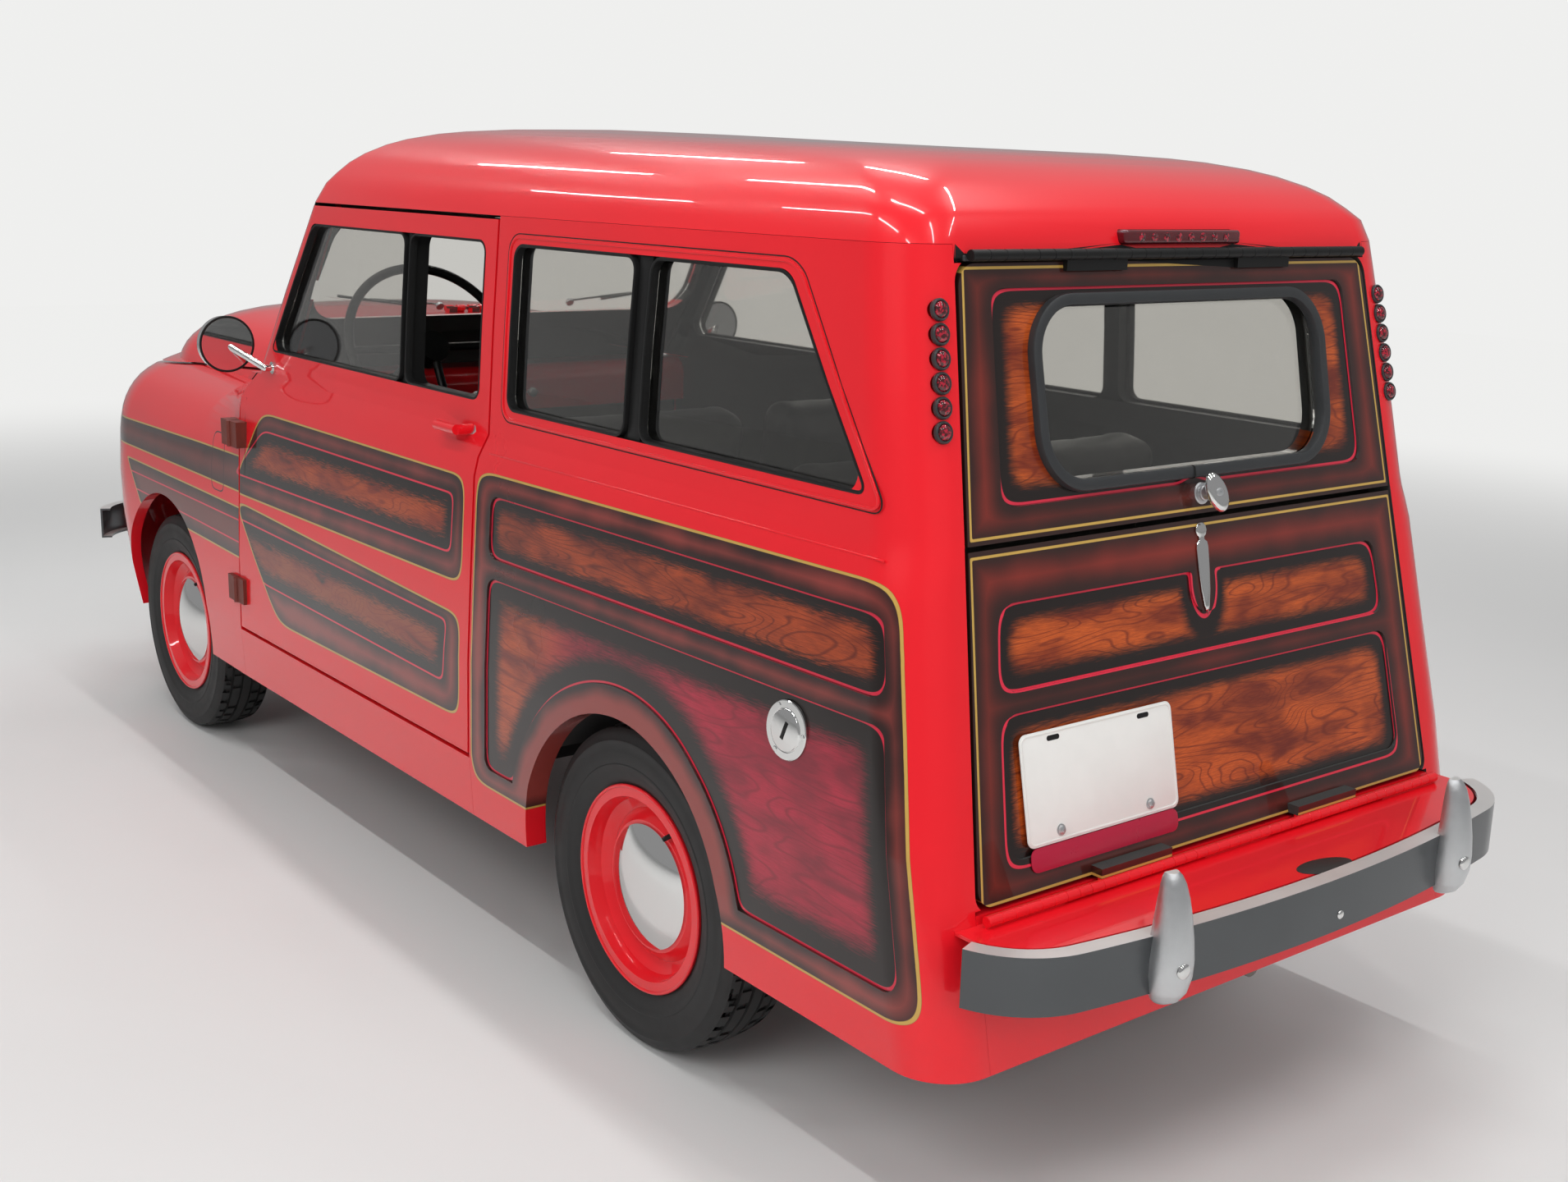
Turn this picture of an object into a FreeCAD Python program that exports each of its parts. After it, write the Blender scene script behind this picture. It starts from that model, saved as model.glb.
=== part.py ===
import FreeCAD, Part
import Sketcher
import math
import os

from FreeCAD import Rotation, Vector

# Small two-door station wagon of the late 1940s, in millimetres.
# The nose faces -Y, the car's left side is +X, and +Z is up.
# The origin lies on the ground under the middle of the overall length.

SIZES = {
    # Whole car
    "overall_length": 3683,
    "body_half_width": 611,
    "roof_height": 1454,
    "rear_axle_place": 946,
    "wheelbase": 2032,
    "track": 1016,
    "fit_gap": 0.3,
    "seam": 0.5,
    "cut_over": 30,
    # Body shell
    "wall": 40,
    "body_bottom": 252,
    "belt_height": 932,
    "eaves_height": 1300,
    "cowl_place": -590,
    "roof_front": -326,
    "pillar_lean_share": 0.711,
    "taper_start": 500,
    "tail_set_back": 366.5,
    "rear_lean_share": 0.2073,
    "rear_corner_radius": 85,
    "front_corner_radius": 55,
    "corner_grow_share": 0.1,
    "roof_fall": 26,
    # Front end
    "nose_set_back": 149.5,
    "nose_radius": 350,
    "wing_blend": 260,
    "nose_half": 296,
    "cowl_side_gap": 55,
    "scuttle_rear": -480,
    "front_wall": 26,
    "hood_set_back": 28,
    "hood_side_gap": 159,
    "hood_base": 838,
    "hood_crest": 1044,
    "hood_rear_gap": 50,
    "hood_line_drop": 16,
    "hood_line_front": 848,
    "hood_gap": 6,
    "firewall_gap": 10,
    "firewall_depth": 50,
    # Wheel arches
    "arch_radius": 286,
    "rear_arch_height": 270,
    "front_arch_height": 300,
    # Doors
    "door_front": -588,
    "door_rear": 466,
    "door_bottom": 368,
    "door_gap": 6.5,
    "door_slope_start": 880,
    "pillar_width": 32,
    "door_depth": 121,
    "window_frame_front": 65,
    "door_window_gap": 36,
    "door_window_rise": 53,
    "door_window_top": 1258,
    "door_divider": 135,
    "divider_width": 16,
    "sill_top": 360,
    "hinge_stand": 7,
    "hinge_set_back": 4,
    "hinge_radius": 6,
    "hinge_length": 56,
    "hinge_low": 452,
    "hinge_high": 800,
    # Windows
    "glass_depth": 14,
    "glass_thick": 6,
    "window_radius": 26,
    "side_window_front": 525,
    "side_window_top": 1257,
    "side_window_rear_top": 1240,
    "window_tail_gap": 18,
    "window_top_gap": 225,
    "mullion_place": 903,
    "mullion_width": 37,
    "side_window_corner": 48,
    "side_window_rise": 48,
    "screen_bottom": 1052,
    "screen_top": 1272,
    "screen_bottom_gap": 119,
    "screen_top_gap": 141,
    "screen_radius": 60,
    # Rear doors
    "hatch_top": 1276,
    "hatch_bottom": 921,
    "gate_top": 914,
    "gate_bottom": 464,
    "hatch_top_gap": 178,
    "hatch_bottom_gap": 150,
    "gate_bottom_gap": 110,
    "hatch_corner": 34,
    "gate_corner": 24,
    "rear_gap": 6,
    "hatch_window_top": 1222,
    "hatch_window_bottom": 985,
    "hatch_window_half": 305,
    "hatch_window_radius": 62,
    "hatch_axis_out": 9,
    "hatch_axis_rise": 10,
    "gate_axis_out": 186,
    "gate_axis_drop": 8,
    "pin_radius": 4,
    "knuckle_radius": 7,
    "leaf_reach": 22,
    "leaf_thick": 9,
    "hatch_pin_gap": 33,
    "gate_pin_gap": 21,
    "hood_pin_half": 66,
    "hood_axis_gap": 53,
    "hood_axis_rise": 9,
    # Recessed panels
    "recess": 4,
    "recess_corner": 22,
    "recess_front": 528,
    "recess_arch_gap": 48,
    "quarter_low_bottom": 357,
    "quarter_low_top": 698,
    "quarter_low_tail_gap": 57,
    "quarter_high_bottom": 732,
    "quarter_high_top": 839,
    "quarter_high_tail_gap": 53,
    "hatch_recess_bottom": 964,
    "hatch_recess_top": 1243,
    "hatch_recess_side": 67,
    "hatch_recess_high_side": 54,
    "gate_low_bottom": 512,
    "gate_low_top": 700,
    "gate_recess_low_side": 65,
    "gate_recess_side": 53,
    "gate_high_bottom": 728,
    "gate_high_top": 842,
    "gate_notch_half": 33,
    "gate_notch_height": 815,
    "frame_set_back": 9,
    # Running gear
    "tyre_radius": 266,
    "tyre_width": 135,
    "bead_radius": 155,
    "bead_height": 16,
    "bead_half": 52,
    "shoulder_half": 56,
    "tread_arc": 300,
    "flange_radius": 169,
    "flange_half": 58,
    "rim_wall": 4.7,
    "disc_face": 36,
    "disc_dip": 22,
    "disc_dip_radius": 126,
    "disc_edge_radius": 143,
    "cap_seat_radius": 108,
    "disc_back": 14,
    "drum_radius": 112,
    "drum_depth": 44,
    "cap_radius": 102,
    "cap_rim": 2.5,
    "cap_rise": 24,
    "cap_arc": 240,
    "kingpin_place": 430,
    "kingpin_radius": 16,
    "kingpin_height": 100,
    "spindle_radius": 18,
    "backplate": 5,
    "beam_bottom": 188,
    "beam_height": 27,
    "beam_depth": 42,
    "axle_tube_radius": 32,
    "diff_radius": 88,
    "diff_width": 150,
    "spring_place": 275,
    "spring_width": 45,
    "spring_thick": 20,
    "spring_half": 400,
    "spring_end_height": 290,
    "spring_pad": 110,
    "rail_height": 52,
    "rail_width": 50,
    "rail_front_gap": 152,
    "rail_overrun": 125,
    "kick_end": 1330,
    "kick_run": 110,
    "cross_width": 60,
    "cross_height": 40,
    "cross_front_gap": 40,
    "cross_dash": -700,
    "cross_mid": 200,
    "cross_tail_gap": 120,
    "pipe_radius": 19,
    "pipe_height": 196,
    "pipe_place": -150,
    "pipe_front": -800,
    "silencer_radius": 56,
    "silencer_front": 60,
    "silencer_length": 420,
    "silencer_corner": 14,
    "hanger_width": 24,
    "engine_half_width": 165,
    "engine_length": 560,
    "engine_front": -1420,
    "engine_bottom": 250,
    "engine_height": 550,
    "mount_bottom": 322,
    "mount_height": 30,
    "mount_width": 60,
    "prop_radius": 22,
    "prop_height": 266,
    # Floor and cabin
    "floor_thick": 10,
    "floor_height": 364,
    "load_height": 446,
    "load_step": 560,
    "load_overrun": 115,
    "deck_front": 1190,
    "deck_rear_gap": 20,
    "deck_half": 395,
    "deck_rise": 3,
    "toe_height": 560,
    "toe_run": 150,
    "housing_radius": 302,
    "housing_wall": 8,
    "housing_inner": 410,
    "dash_bottom": 826,
    "dash_top": 928,
    "dash_depth": 125,
    "dash_side_gap": 111,
    "dash_radius": 40,
    "wheel_hub_side": 280,
    "wheel_hub_place": -290,
    "wheel_hub_height": 1000,
    "steering_rim": 182,
    "steering_rim_thick": 10,
    "steering_hub": 34,
    "spoke_width": 18,
    "column_radius": 18,
    "column_tilt_angle": 28,
    "seat_half": 230,
    "seat_gap": 60,
    "front_seat_front": 0,
    "front_seat_length": 430,
    "cushion_top": 560,
    "back_top": 985,
    "back_thick": 120,
    "back_lean_share": 0.2,
    "seat_round": 38,
    "rear_seat_front": 660,
    "rear_seat_length": 400,
    "rear_cushion_top": 610,
    "rear_seat_half": 398,
    # Lamps, grille and bumpers
    "headlamp_radius": 92,
    "headlamp_place": 400,
    "headlamp_drop": 160,
    "headlamp_set_back": 4,
    "headlamp_depth": 200,
    "nacelle_wall": 4,
    "nacelle_set_back": 18,
    "nacelle_grow": 26,
    "lens_radius": 78,
    "lens_rise": 24,
    "lens_seat": 12,
    "bezel_round": 12,
    "tail_lamp_radius": 13,
    "tail_lamp_rise": 7,
    "tail_lamp_top": 1219,
    "tail_lamp_pitch": 30.4,
    "lamp_top_gap": 140,
    "lamp_low_gap": 127,
    "brake_lamp_half": 125,
    "brake_lamp_height": 1308,
    "brake_lamp_set_back": 23,
    "brake_lamp_radius": 6,
    "brake_lamp_tall": 20,
    "brake_lamp_deep": 30,
    "grille_half": 250,
    "grille_bottom": 470,
    "grille_top": 770,
    "grille_radius": 60,
    "grille_bar": 10,
    "grille_deep": 22,
    "grille_frame": 16,
    "bumper_top": 448,
    "bumper_height": 80,
    "bumper_thick": 5,
    "bumper_flange": 26,
    "bumper_lip": 5,
    "bumper_set_back": 19.5,
    "bumper_arc": 2900,
    "bumper_end_start": 455,
    "bumper_end_radius": 150,
    "bumper_end_angle": 70,
    "overrider_place": 319,
    "overrider_width": 58,
    "overrider_bottom": 352,
    "overrider_top": 531,
    "overrider_deep": 34,
    "overrider_radius": 26,
    "bracket_width": 44,
    "bracket_height": 30,
    "bracket_bottom": 380,
    "bracket_slot": 4,
    "ledge_height": 447,
    "ledge_thick": 5,
    "ledge_side_gap": 66,
    "ledge_gap": 5,
    "fuel_cap_place": 1352,
    "fuel_cap_height": 646,
    "fuel_cap_radius": 42,
    "fuel_cap_rise": 8,
    # Mirrors
    "mirror_stand": 29,
    "mirror_place": -520,
    "mirror_rise": 68,
    "mirror_radius": 58,
    "mirror_deep": 18,
    "mirror_arm_radius": 7,
    "mirror_foot_gap": 45,
    "mirror_foot_place": -468,
    "mirror_foot_rise": 20,
    "mirror_foot_radius": 13,
    "mirror_foot_deep": 14,
    "handle_place": 408,
    "handle_rise": 3,
    "handle_radius": 9,
    "handle_reach": 30,
    "handle_length": 74,
}

# Side wall: share of the belt height, of the half width, and of the half width at the tail
WALL_SHARES = (
    (0.2704, 0.9885, 0.9845),
    (0.3981, 1.0000, 0.9935),
    (0.5772, 0.9960, 0.9880),
    (0.7371, 0.9836, 0.9620),
    (0.9259, 0.9673, 0.9345),
    (0.9602, 0.9540, 0.9210),
    (0.9818, 0.9360, 0.9116),
    (1.0000, 0.9200, 0.9080),
)

# Window band: share of the way from belt to eaves, and half width shares as above
BAND_SHARES = (
    (0.00, 0.9200, 0.9080),
    (0.50, 0.9015, 0.8850),
    (1.00, 0.8780, 0.8480),
)

# Roof: share of the rise above the eaves, and shares of the half width drawn in
# at the sides, at the windscreen and at the tail
ROOF_SHARES = (
    (0.250, 0.018, 0.050, 0.018),
    (0.520, 0.068, 0.120, 0.085),
    (0.750, 0.150, 0.215, 0.190),
    (0.900, 0.265, 0.345, 0.330),
    (0.975, 0.430, 0.520, 0.520),
    (1.000, 0.640, 0.740, 0.760),
)

# Front wings: share of the belt height, half width shares at the cowl and beside
# the hood, and how far the front draws back as a share of the nose radius
WING_SHARES = (
    (0.2704, 0.9885, 0.9830, 0.300),
    (0.3981, 1.0000, 0.9960, 0.190),
    (0.5304, 0.9960, 0.9930, 0.045),
    (0.6435, 0.9900, 0.9880, 0.000),
    (0.7510, 0.9825, 0.9790, 0.004),
    (0.8155, 0.9780, 0.9640, 0.015),
    (0.8584, 0.9745, 0.9380, 0.032),
    (0.8960, 0.9705, 0.8950, 0.055),
    (0.9228, 0.9670, 0.8320, 0.070),
    (0.9442, 0.9610, 0.7550, 0.110),
)

# Hood: share of the rise from base to crest, share of the half width left, and
# how far the front draws back as a share of the hood's own length
HOOD_SHARES = (
    (0.00, 1.000, 0.000),
    (0.20, 0.992, 0.020),
    (0.40, 0.972, 0.058),
    (0.58, 0.925, 0.117),
    (0.73, 0.850, 0.195),
    (0.85, 0.730, 0.300),
    (0.93, 0.560, 0.440),
    (0.98, 0.340, 0.620),
    (1.00, 0.150, 0.780),
)

# Overriders: share of the height, of the width, and of the depth in front of the bar
OVERRIDER_SHARES = (
    (0.000, 0.30, 0.20),
    (0.035, 0.62, 0.52),
    (0.110, 0.86, 0.80),
    (0.230, 1.00, 0.97),
    (0.360, 1.00, 1.00),
    (0.520, 0.90, 0.93),
    (0.680, 0.76, 0.80),
    (0.820, 0.63, 0.64),
    (0.920, 0.50, 0.46),
    (0.975, 0.34, 0.28),
    (1.000, 0.14, 0.12),
)
OVERRIDER_SHOULDER_SHARE = 0.35

doc = FreeCAD.newDocument("station_wagon")
sheet = doc.addObject("Spreadsheet::Sheet", "sizes")
for row, (alias, value) in enumerate(SIZES.items(), start=1):
    sheet.set(f"A{row}", alias)
    sheet.set(f"B{row}", str(value))
    sheet.setAlias(f"B{row}", alias)
doc.recompute()


class Read:
    """Gives each driving size by its name in the sheet."""

    def __getattr__(self, name):
        return float(sheet.get(name))


d = Read()
nodes = []

# Places that follow from the sizes of what carries them
nose_place = d.nose_set_back - d.overall_length / 2
rear_top = d.overall_length / 2 - d.tail_set_back
bumper_centre = d.overall_length / 2 - d.bumper_set_back
hood_front = nose_place + d.hood_set_back
headlamp_front = nose_place + d.headlamp_set_back
rail_front = nose_place + d.rail_front_gap
rail_rear = rear_top + d.rail_overrun
cross_front = rail_front + d.cross_front_gap
cross_tail = rail_rear - d.cross_tail_gap
load_rear = rear_top + d.load_overrun
deck_rear = load_rear - d.deck_rear_gap
pipe_rear = rail_rear
side_window_rear = rear_top - d.window_tail_gap
side_window_top_end = rear_top - d.window_top_gap
hatch_axis_place = rear_top + d.hatch_axis_out
gate_axis_place = rear_top + d.gate_axis_out
brake_lamp_front = rear_top - d.brake_lamp_set_back
door_inner = d.body_half_width - d.door_depth
hinge_axis_out = d.body_half_width + d.hinge_stand
cowl_half = d.body_half_width - d.cowl_side_gap
hood_half_width = d.body_half_width - d.hood_side_gap
ledge_half = d.body_half_width - d.ledge_side_gap
hatch_half_top = d.body_half_width - d.hatch_top_gap
hatch_half_bottom = d.body_half_width - d.hatch_bottom_gap
gate_half_bottom = d.body_half_width - d.gate_bottom_gap
hatch_pin_half = hatch_half_top - d.hatch_pin_gap
gate_pin_half = gate_half_bottom - d.gate_pin_gap
screen_half_bottom = d.body_half_width - d.screen_bottom_gap
screen_half_top = d.body_half_width - d.screen_top_gap
dash_half = d.body_half_width - d.dash_side_gap
tail_lamp_top_side = d.body_half_width - d.lamp_top_gap
tail_lamp_low_side = d.body_half_width - d.lamp_low_gap
mirror_side = d.body_half_width + d.mirror_stand
mirror_foot_side = d.body_half_width - d.mirror_foot_gap
door_window_bottom = d.belt_height + d.door_window_rise
side_window_bottom = d.belt_height + d.side_window_rise
mirror_height = d.belt_height + d.mirror_rise
mirror_foot_height = d.belt_height + d.mirror_foot_rise
handle_height = d.belt_height + d.handle_rise
hood_line_rear = d.belt_height - d.hood_line_drop
hatch_axis_height = d.hatch_top + d.hatch_axis_rise
gate_axis_height = d.gate_bottom - d.gate_axis_drop
headlamp_height = d.hood_line_front - d.headlamp_drop
door_window_rear = d.door_rear - d.door_window_gap
hinge_axis_place = d.door_front - d.hinge_set_back
firewall_rear = d.cowl_place - d.firewall_gap
firewall_front = d.cowl_place - d.firewall_depth
hood_rear = d.cowl_place - d.hood_rear_gap
hood_axis_place = d.cowl_place - d.hood_axis_gap
hood_axis_height = d.hood_crest + d.hood_axis_rise
front_axle_place = d.rear_axle_place - d.wheelbase
axle_height = d.tyre_radius
wheel_side = d.track / 2


# Document objects

ALONG_X = Rotation(Vector(0, 1, 0), 90)
ALONG_Y = Rotation(Vector(1, 0, 0), -90)


def keep(obj, label):
    """Name an object as a sub-part of the car."""
    obj.Label = label
    nodes.append(obj)
    return obj


def shaped(label, shape):
    """A sub-part whose curved form is built from the sheet's sizes."""
    feature = doc.addObject("Part::Feature", label)
    solids = shape.Solids
    feature.Shape = solids[0] if len(solids) == 1 else Part.makeCompound(solids)
    feature.Placement = FreeCAD.Placement()
    return keep(feature, label)


def reflected(label, source):
    """The same sub-part on the car's other side."""
    twin = doc.addObject("Part::Mirroring", label)
    twin.Source = source
    twin.Normal = Vector(1, 0, 0)
    return keep(twin, label)


def primitive(kind, name, place, turn=Rotation(), **sizes):
    """A plain solid whose place and sizes are tied to the sheet."""
    solid = doc.addObject("Part::" + kind, name)
    solid.Placement = FreeCAD.Placement(Vector(), turn)
    for axis, text in zip("xyz", place):
        solid.setExpression("Placement.Base." + axis, text)
    for size, text in sizes.items():
        solid.setExpression(size, text)
    return solid


def sideways(name, place, radius, length):
    """A round bar that runs to the car's left from a place."""
    return primitive("Cylinder", name, place, ALONG_X, Radius=radius, Height=length)


def twin_of(solid):
    """A solid's mirror image, as one more piece of the same sub-part."""
    twin = doc.addObject("Part::Mirroring", solid.Name + "_twin")
    twin.Source = solid
    twin.Normal = Vector(1, 0, 0)
    return twin


def tool_of(name, shape):
    """A curved piece that is joined to plain ones."""
    feature = doc.addObject("Part::Feature", name)
    feature.Shape = shape
    return feature


def joined(label, solids):
    """One sub-part made of solids that run into each other."""
    fusion = doc.addObject("Part::MultiFuse", label)
    fusion.Shapes = solids
    return keep(fusion, label)


def origin_plane(body, role):
    """One of a body's own origin planes."""
    return next(item for item in body.Origin.OriginFeatures if item.Role == role)


def profile(body, role, corners, arcs=None):
    """A closed sketch whose corners are tied to the sheet; arcs maps a side to its radius."""
    arcs = arcs or {}
    sketch = body.newObject("Sketcher::SketchObject", body.Name + "_profile")
    sketch.AttachmentSupport = [(origin_plane(body, role), "")]
    sketch.MapMode = "FlatFace"
    points = []
    for across, along in corners:
        x_place = float(sketch.evalExpression(across))
        y_place = float(sketch.evalExpression(along))
        points.append(Vector(x_place, y_place, 0))
    ends = []
    for side, start in enumerate(points):
        end = points[(side + 1) % len(points)]
        if side in arcs:
            radius = float(sketch.evalExpression(arcs[side]))
            chord = end - start
            half = chord.Length / 2
            rise = radius - math.sqrt(max(radius * radius - half * half, 0))
            out = Vector(chord.y, -chord.x, 0).normalize()
            middle = (start + end) / 2 + out * rise
            sketch.addGeometry(Part.Arc(start, middle, end), False)
        else:
            sketch.addGeometry(Part.LineSegment(start, end), False)
        first = sketch.getPoint(side, 1)
        ends.append((1, 2) if (first - start).Length < (first - end).Length else (2, 1))
    for side in range(len(points)):
        after = (side + 1) % len(points)
        sketch.addConstraint(Sketcher.Constraint("Coincident", side, ends[side][1], after, ends[after][0]))
    for side, (across, along) in enumerate(corners):
        for kind, value, text in (("DistanceX", points[side].x, across), ("DistanceY", points[side].y, along)):
            rule = sketch.addConstraint(Sketcher.Constraint(kind, -1, 1, side, ends[side][0], value))
            sketch.setExpression(f"Constraints[{rule}]", text)
    for side, radius in arcs.items():
        value = float(sketch.evalExpression(radius))
        rule = sketch.addConstraint(Sketcher.Constraint("Radius", side, value))
        sketch.setExpression(f"Constraints[{rule}]", radius)
    return sketch


def turned(label, corners, arcs=None, centre=Vector(), flip=False):
    """A body turned about the car's X direction from a half section of (X, radius) corners."""
    body = doc.addObject("PartDesign::Body", label)
    sketch = profile(body, "XY_Plane", corners, arcs)
    turn = body.newObject("PartDesign::Revolution", label + "_turn")
    turn.Profile = sketch
    turn.ReferenceAxis = (sketch, ["H_Axis"])
    turn.Angle = 360
    body.Tip = turn
    half_turn = Rotation(Vector(0, 0, 1), 180 if flip else 0)
    body.Placement = FreeCAD.Placement(centre, half_turn)
    return keep(body, label)


# Wires and solids of the curved panels

def rounded(points, radii, place):
    """A closed wire with rounded corners; place sets each flat point in space."""
    corners = []
    for i, corner in enumerate(points):
        back = (points[i - 1] - corner).normalize()
        ahead = (points[(i + 1) % len(points)] - corner).normalize()
        radius = radii[i]
        if radius <= 0:
            corners.append((corner, corner, None))
            continue
        half_angle = back.getAngle(ahead) / 2
        bisector = (back + ahead).normalize()
        reach = radius / math.tan(half_angle)
        centre = corner + bisector * (radius / math.sin(half_angle))
        corners.append((corner + back * reach, corner + ahead * reach, centre - bisector * radius))
    edges = []
    for i, (start, end, middle) in enumerate(corners):
        if middle is not None:
            edges.append(Part.Arc(place(start), place(middle), place(end)).toShape())
        following = corners[(i + 1) % len(corners)][0]
        edges.append(Part.LineSegment(place(end), place(following)).toShape())
    return Part.Wire(edges)


def flat(*pairs):
    """Points of a flat outline."""
    return [Vector(across, along, 0) for across, along in pairs]


def prism(points, radius, place, travel):
    """An outline with one corner radius, or one for each corner, pushed out into a solid."""
    radii = radius if isinstance(radius, (list, tuple)) else [radius] * len(points)
    return Part.Face(rounded(points, radii, place)).extrude(travel)


def side_prism(points, radius, near, far):
    """A solid from an outline of (y, z) points, from X near to X far."""
    return prism(points, radius, lambda p: Vector(near, p.x, p.y), Vector(far - near, 0, 0))


def rear_prism(points, radius, near, far):
    """A solid from an outline of (x, z) points, from Y near to Y far."""
    return prism(points, radius, lambda p: Vector(p.x, near, p.y), Vector(0, far - near, 0))


def block(x_low, x_high, y_low, y_high, z_low, z_high):
    """A plain box between two places on each axis."""
    size = (x_high - x_low, y_high - y_low, z_high - z_low)
    return Part.makeBox(*size, Vector(x_low, y_low, z_low))


def rod(radius, start, end):
    """A round bar between two points."""
    return Part.makeCylinder(radius, (end - start).Length, start, end - start)


def mirrored(shape):
    """The same shape on the car's other side."""
    return shape.mirror(Vector(), Vector(1, 0, 0))


def both(shape):
    """A shape and its mirror image as one set of solids."""
    return Part.makeCompound([shape, mirrored(shape)])


# Outer body

kept_forms = {}


def graded(rows, start):
    """Rows of shares with one more between each two from a row on, along a smooth curve."""
    finer = list(rows[:start + 1])
    for i in range(start, len(rows) - 1):
        below, above = rows[i], rows[i + 1]
        step = above[0] - below[0]
        middle = [below[0] + step / 2]
        for column in range(1, len(below)):
            slopes = [(b[column] - a[column]) / (b[0] - a[0]) for a, b in zip(rows, rows[1:])]
            around_row = (slopes[max(i - 1, 0)], slopes[i], slopes[min(i + 1, len(slopes) - 1)])
            low, high = [mean_slope(*pair) for pair in zip(around_row, around_row[1:])]
            middle.append((below[column] + above[column]) / 2 + (low - high) * step / 8)
        finer += [tuple(middle), above]
    return finer


def mean_slope(first, second):
    """The slope between two neighbouring steps, level where they turn back."""
    return 2 * first * second / (first + second) if first * second > 0 else 0


def tail_place(height, inset=0):
    """Where the leaning rear face lies at a height."""
    shift = inset * math.hypot(1, d.rear_lean_share)
    return rear_top + (d.hatch_top - height) * d.rear_lean_share - shift


def screen_place(height, inset=0):
    """Where the leaning windscreen face lies at a height."""
    shift = inset * math.hypot(1, d.pillar_lean_share)
    return d.roof_front - (d.eaves_height - height) * d.pillar_lean_share + shift


def plan_wire(half, tail_half, front, rear, front_radius, rear_radius, height, fall=0):
    """One level of the body, seen from above, falling towards the tail by the given amount."""
    slope = fall / (rear - front)
    points = flat(
        (half, front), (half, d.taper_start), (tail_half, rear),
        (-tail_half, rear), (-half, d.taper_start), (-half, front),
    )
    radii = [front_radius, 0, rear_radius, rear_radius, 0, front_radius]
    return rounded(points, radii, lambda p: Vector(p.x, p.y, height - (p.y - front) * slope))


def main_body(inset):
    """The cabin's outer form, or the same form drawn in by an inset."""
    if inset in kept_forms:
        return kept_forms[inset]
    wires = []
    front = firewall_rear if inset else d.cowl_place
    rear_radius = d.rear_corner_radius - inset
    for rise, width, tail in WALL_SHARES:
        height = rise * d.belt_height
        if inset and not wires:
            height -= d.cut_over
        half = width * d.body_half_width - inset
        tail_half = tail * d.body_half_width - inset
        rear = tail_place(height, inset)
        wires.append(plan_wire(half, tail_half, front, rear, 0, rear_radius, height))
    lower = Part.makeLoft(wires, True, True, False)
    belt = d.belt_height
    wires = []
    for rise, width, tail in BAND_SHARES:
        height = belt + rise * (d.eaves_height - belt)
        half = width * d.body_half_width - inset
        tail_half = tail * d.body_half_width - inset
        ends = (screen_place(height, inset), tail_place(height, inset))
        radii = (d.front_corner_radius - inset * 3 / 4, rear_radius)
        wires.append(plan_wire(half, tail_half, *ends, *radii, height))
    for rise, side_in, front_in, rear_in in graded(ROOF_SHARES, 0):
        height = d.eaves_height + rise * (d.roof_height - inset - d.eaves_height)
        draw = side_in * d.body_half_width
        half = BAND_SHARES[-1][1] * d.body_half_width - inset - draw
        tail_half = BAND_SHARES[-1][2] * d.body_half_width - inset - draw
        front = screen_place(d.eaves_height, inset) + front_in * d.body_half_width
        rear = tail_place(d.eaves_height, inset) - rear_in * d.body_half_width
        grow = draw * d.corner_grow_share
        radii = (d.front_corner_radius - inset * 3 / 4 + grow, rear_radius + grow)
        wires.append(plan_wire(half, tail_half, front, rear, *radii, height, d.roof_fall * rise))
    upper = Part.makeLoft(wires, True, True, False)
    kept_forms[inset] = lower.fuse(upper)
    return kept_forms[inset]


def wing_body(inset, rear):
    """The two front wings and the nose between them, as one form."""
    wires = []
    for rise, cowl, side, back in graded(WING_SHARES, 4):
        height = rise * d.belt_height
        if inset:
            height -= inset if wires else d.cut_over
        cowl_half = cowl * d.body_half_width - inset
        side_half = side * d.body_half_width - inset
        front = nose_place + inset + back * d.nose_radius
        blend = d.cowl_place - d.wing_blend
        points = flat(
            (side_half, front), (side_half, blend), (cowl_half, d.cowl_place), (cowl_half, rear),
            (-cowl_half, rear), (-cowl_half, d.cowl_place), (-side_half, blend), (-side_half, front),
        )
        if rear <= d.cowl_place:
            points = [p for p in points if p.y != d.cowl_place]
        radius = d.nose_radius - inset
        radii = [radius] + [0] * (len(points) - 2) + [radius]
        wires.append(rounded(points, radii, lambda p: Vector(p.x, p.y, height)))
    return Part.makeLoft(wires, True, True, False)


def hood_body(inset, front, rear):
    """The rounded hood, from its base line to its crest."""
    wires = []
    reach = hood_rear - hood_front
    for rise, width, back in graded(HOOD_SHARES, 0):
        crest = d.hood_crest - inset
        height = d.hood_base + rise * (crest - d.hood_base)
        if inset and not wires:
            height = d.body_bottom - d.cut_over
        half = width * (hood_half_width - inset)
        nose = max(hood_front + inset + back * reach, front)
        radius = half * 3 / 4 if nose < hood_rear else half / 8
        points = flat((half, nose), (half, rear), (-half, rear), (-half, nose))
        wires.append(rounded(points, [radius, 0, 0, radius], lambda p: Vector(p.x, p.y, height)))
    return Part.makeLoft(wires, True, True, False)


outer = main_body(0).fuse([
    wing_body(0, d.cowl_place + d.cut_over),
    hood_body(0, hood_front, d.scuttle_rear),
])
cabin = main_body(d.wall)
engine_bay = wing_body(d.front_wall, firewall_front)
hood_bay = hood_body(d.front_wall, hood_front, firewall_front)
scuttle = hood_body(d.front_wall, firewall_rear, d.scuttle_rear)
shell = outer.cut([cabin, engine_bay, hood_bay, scuttle])

FAR = d.overall_length


# Door and tail outlines, each drawn out by the gap that is asked for

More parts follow.
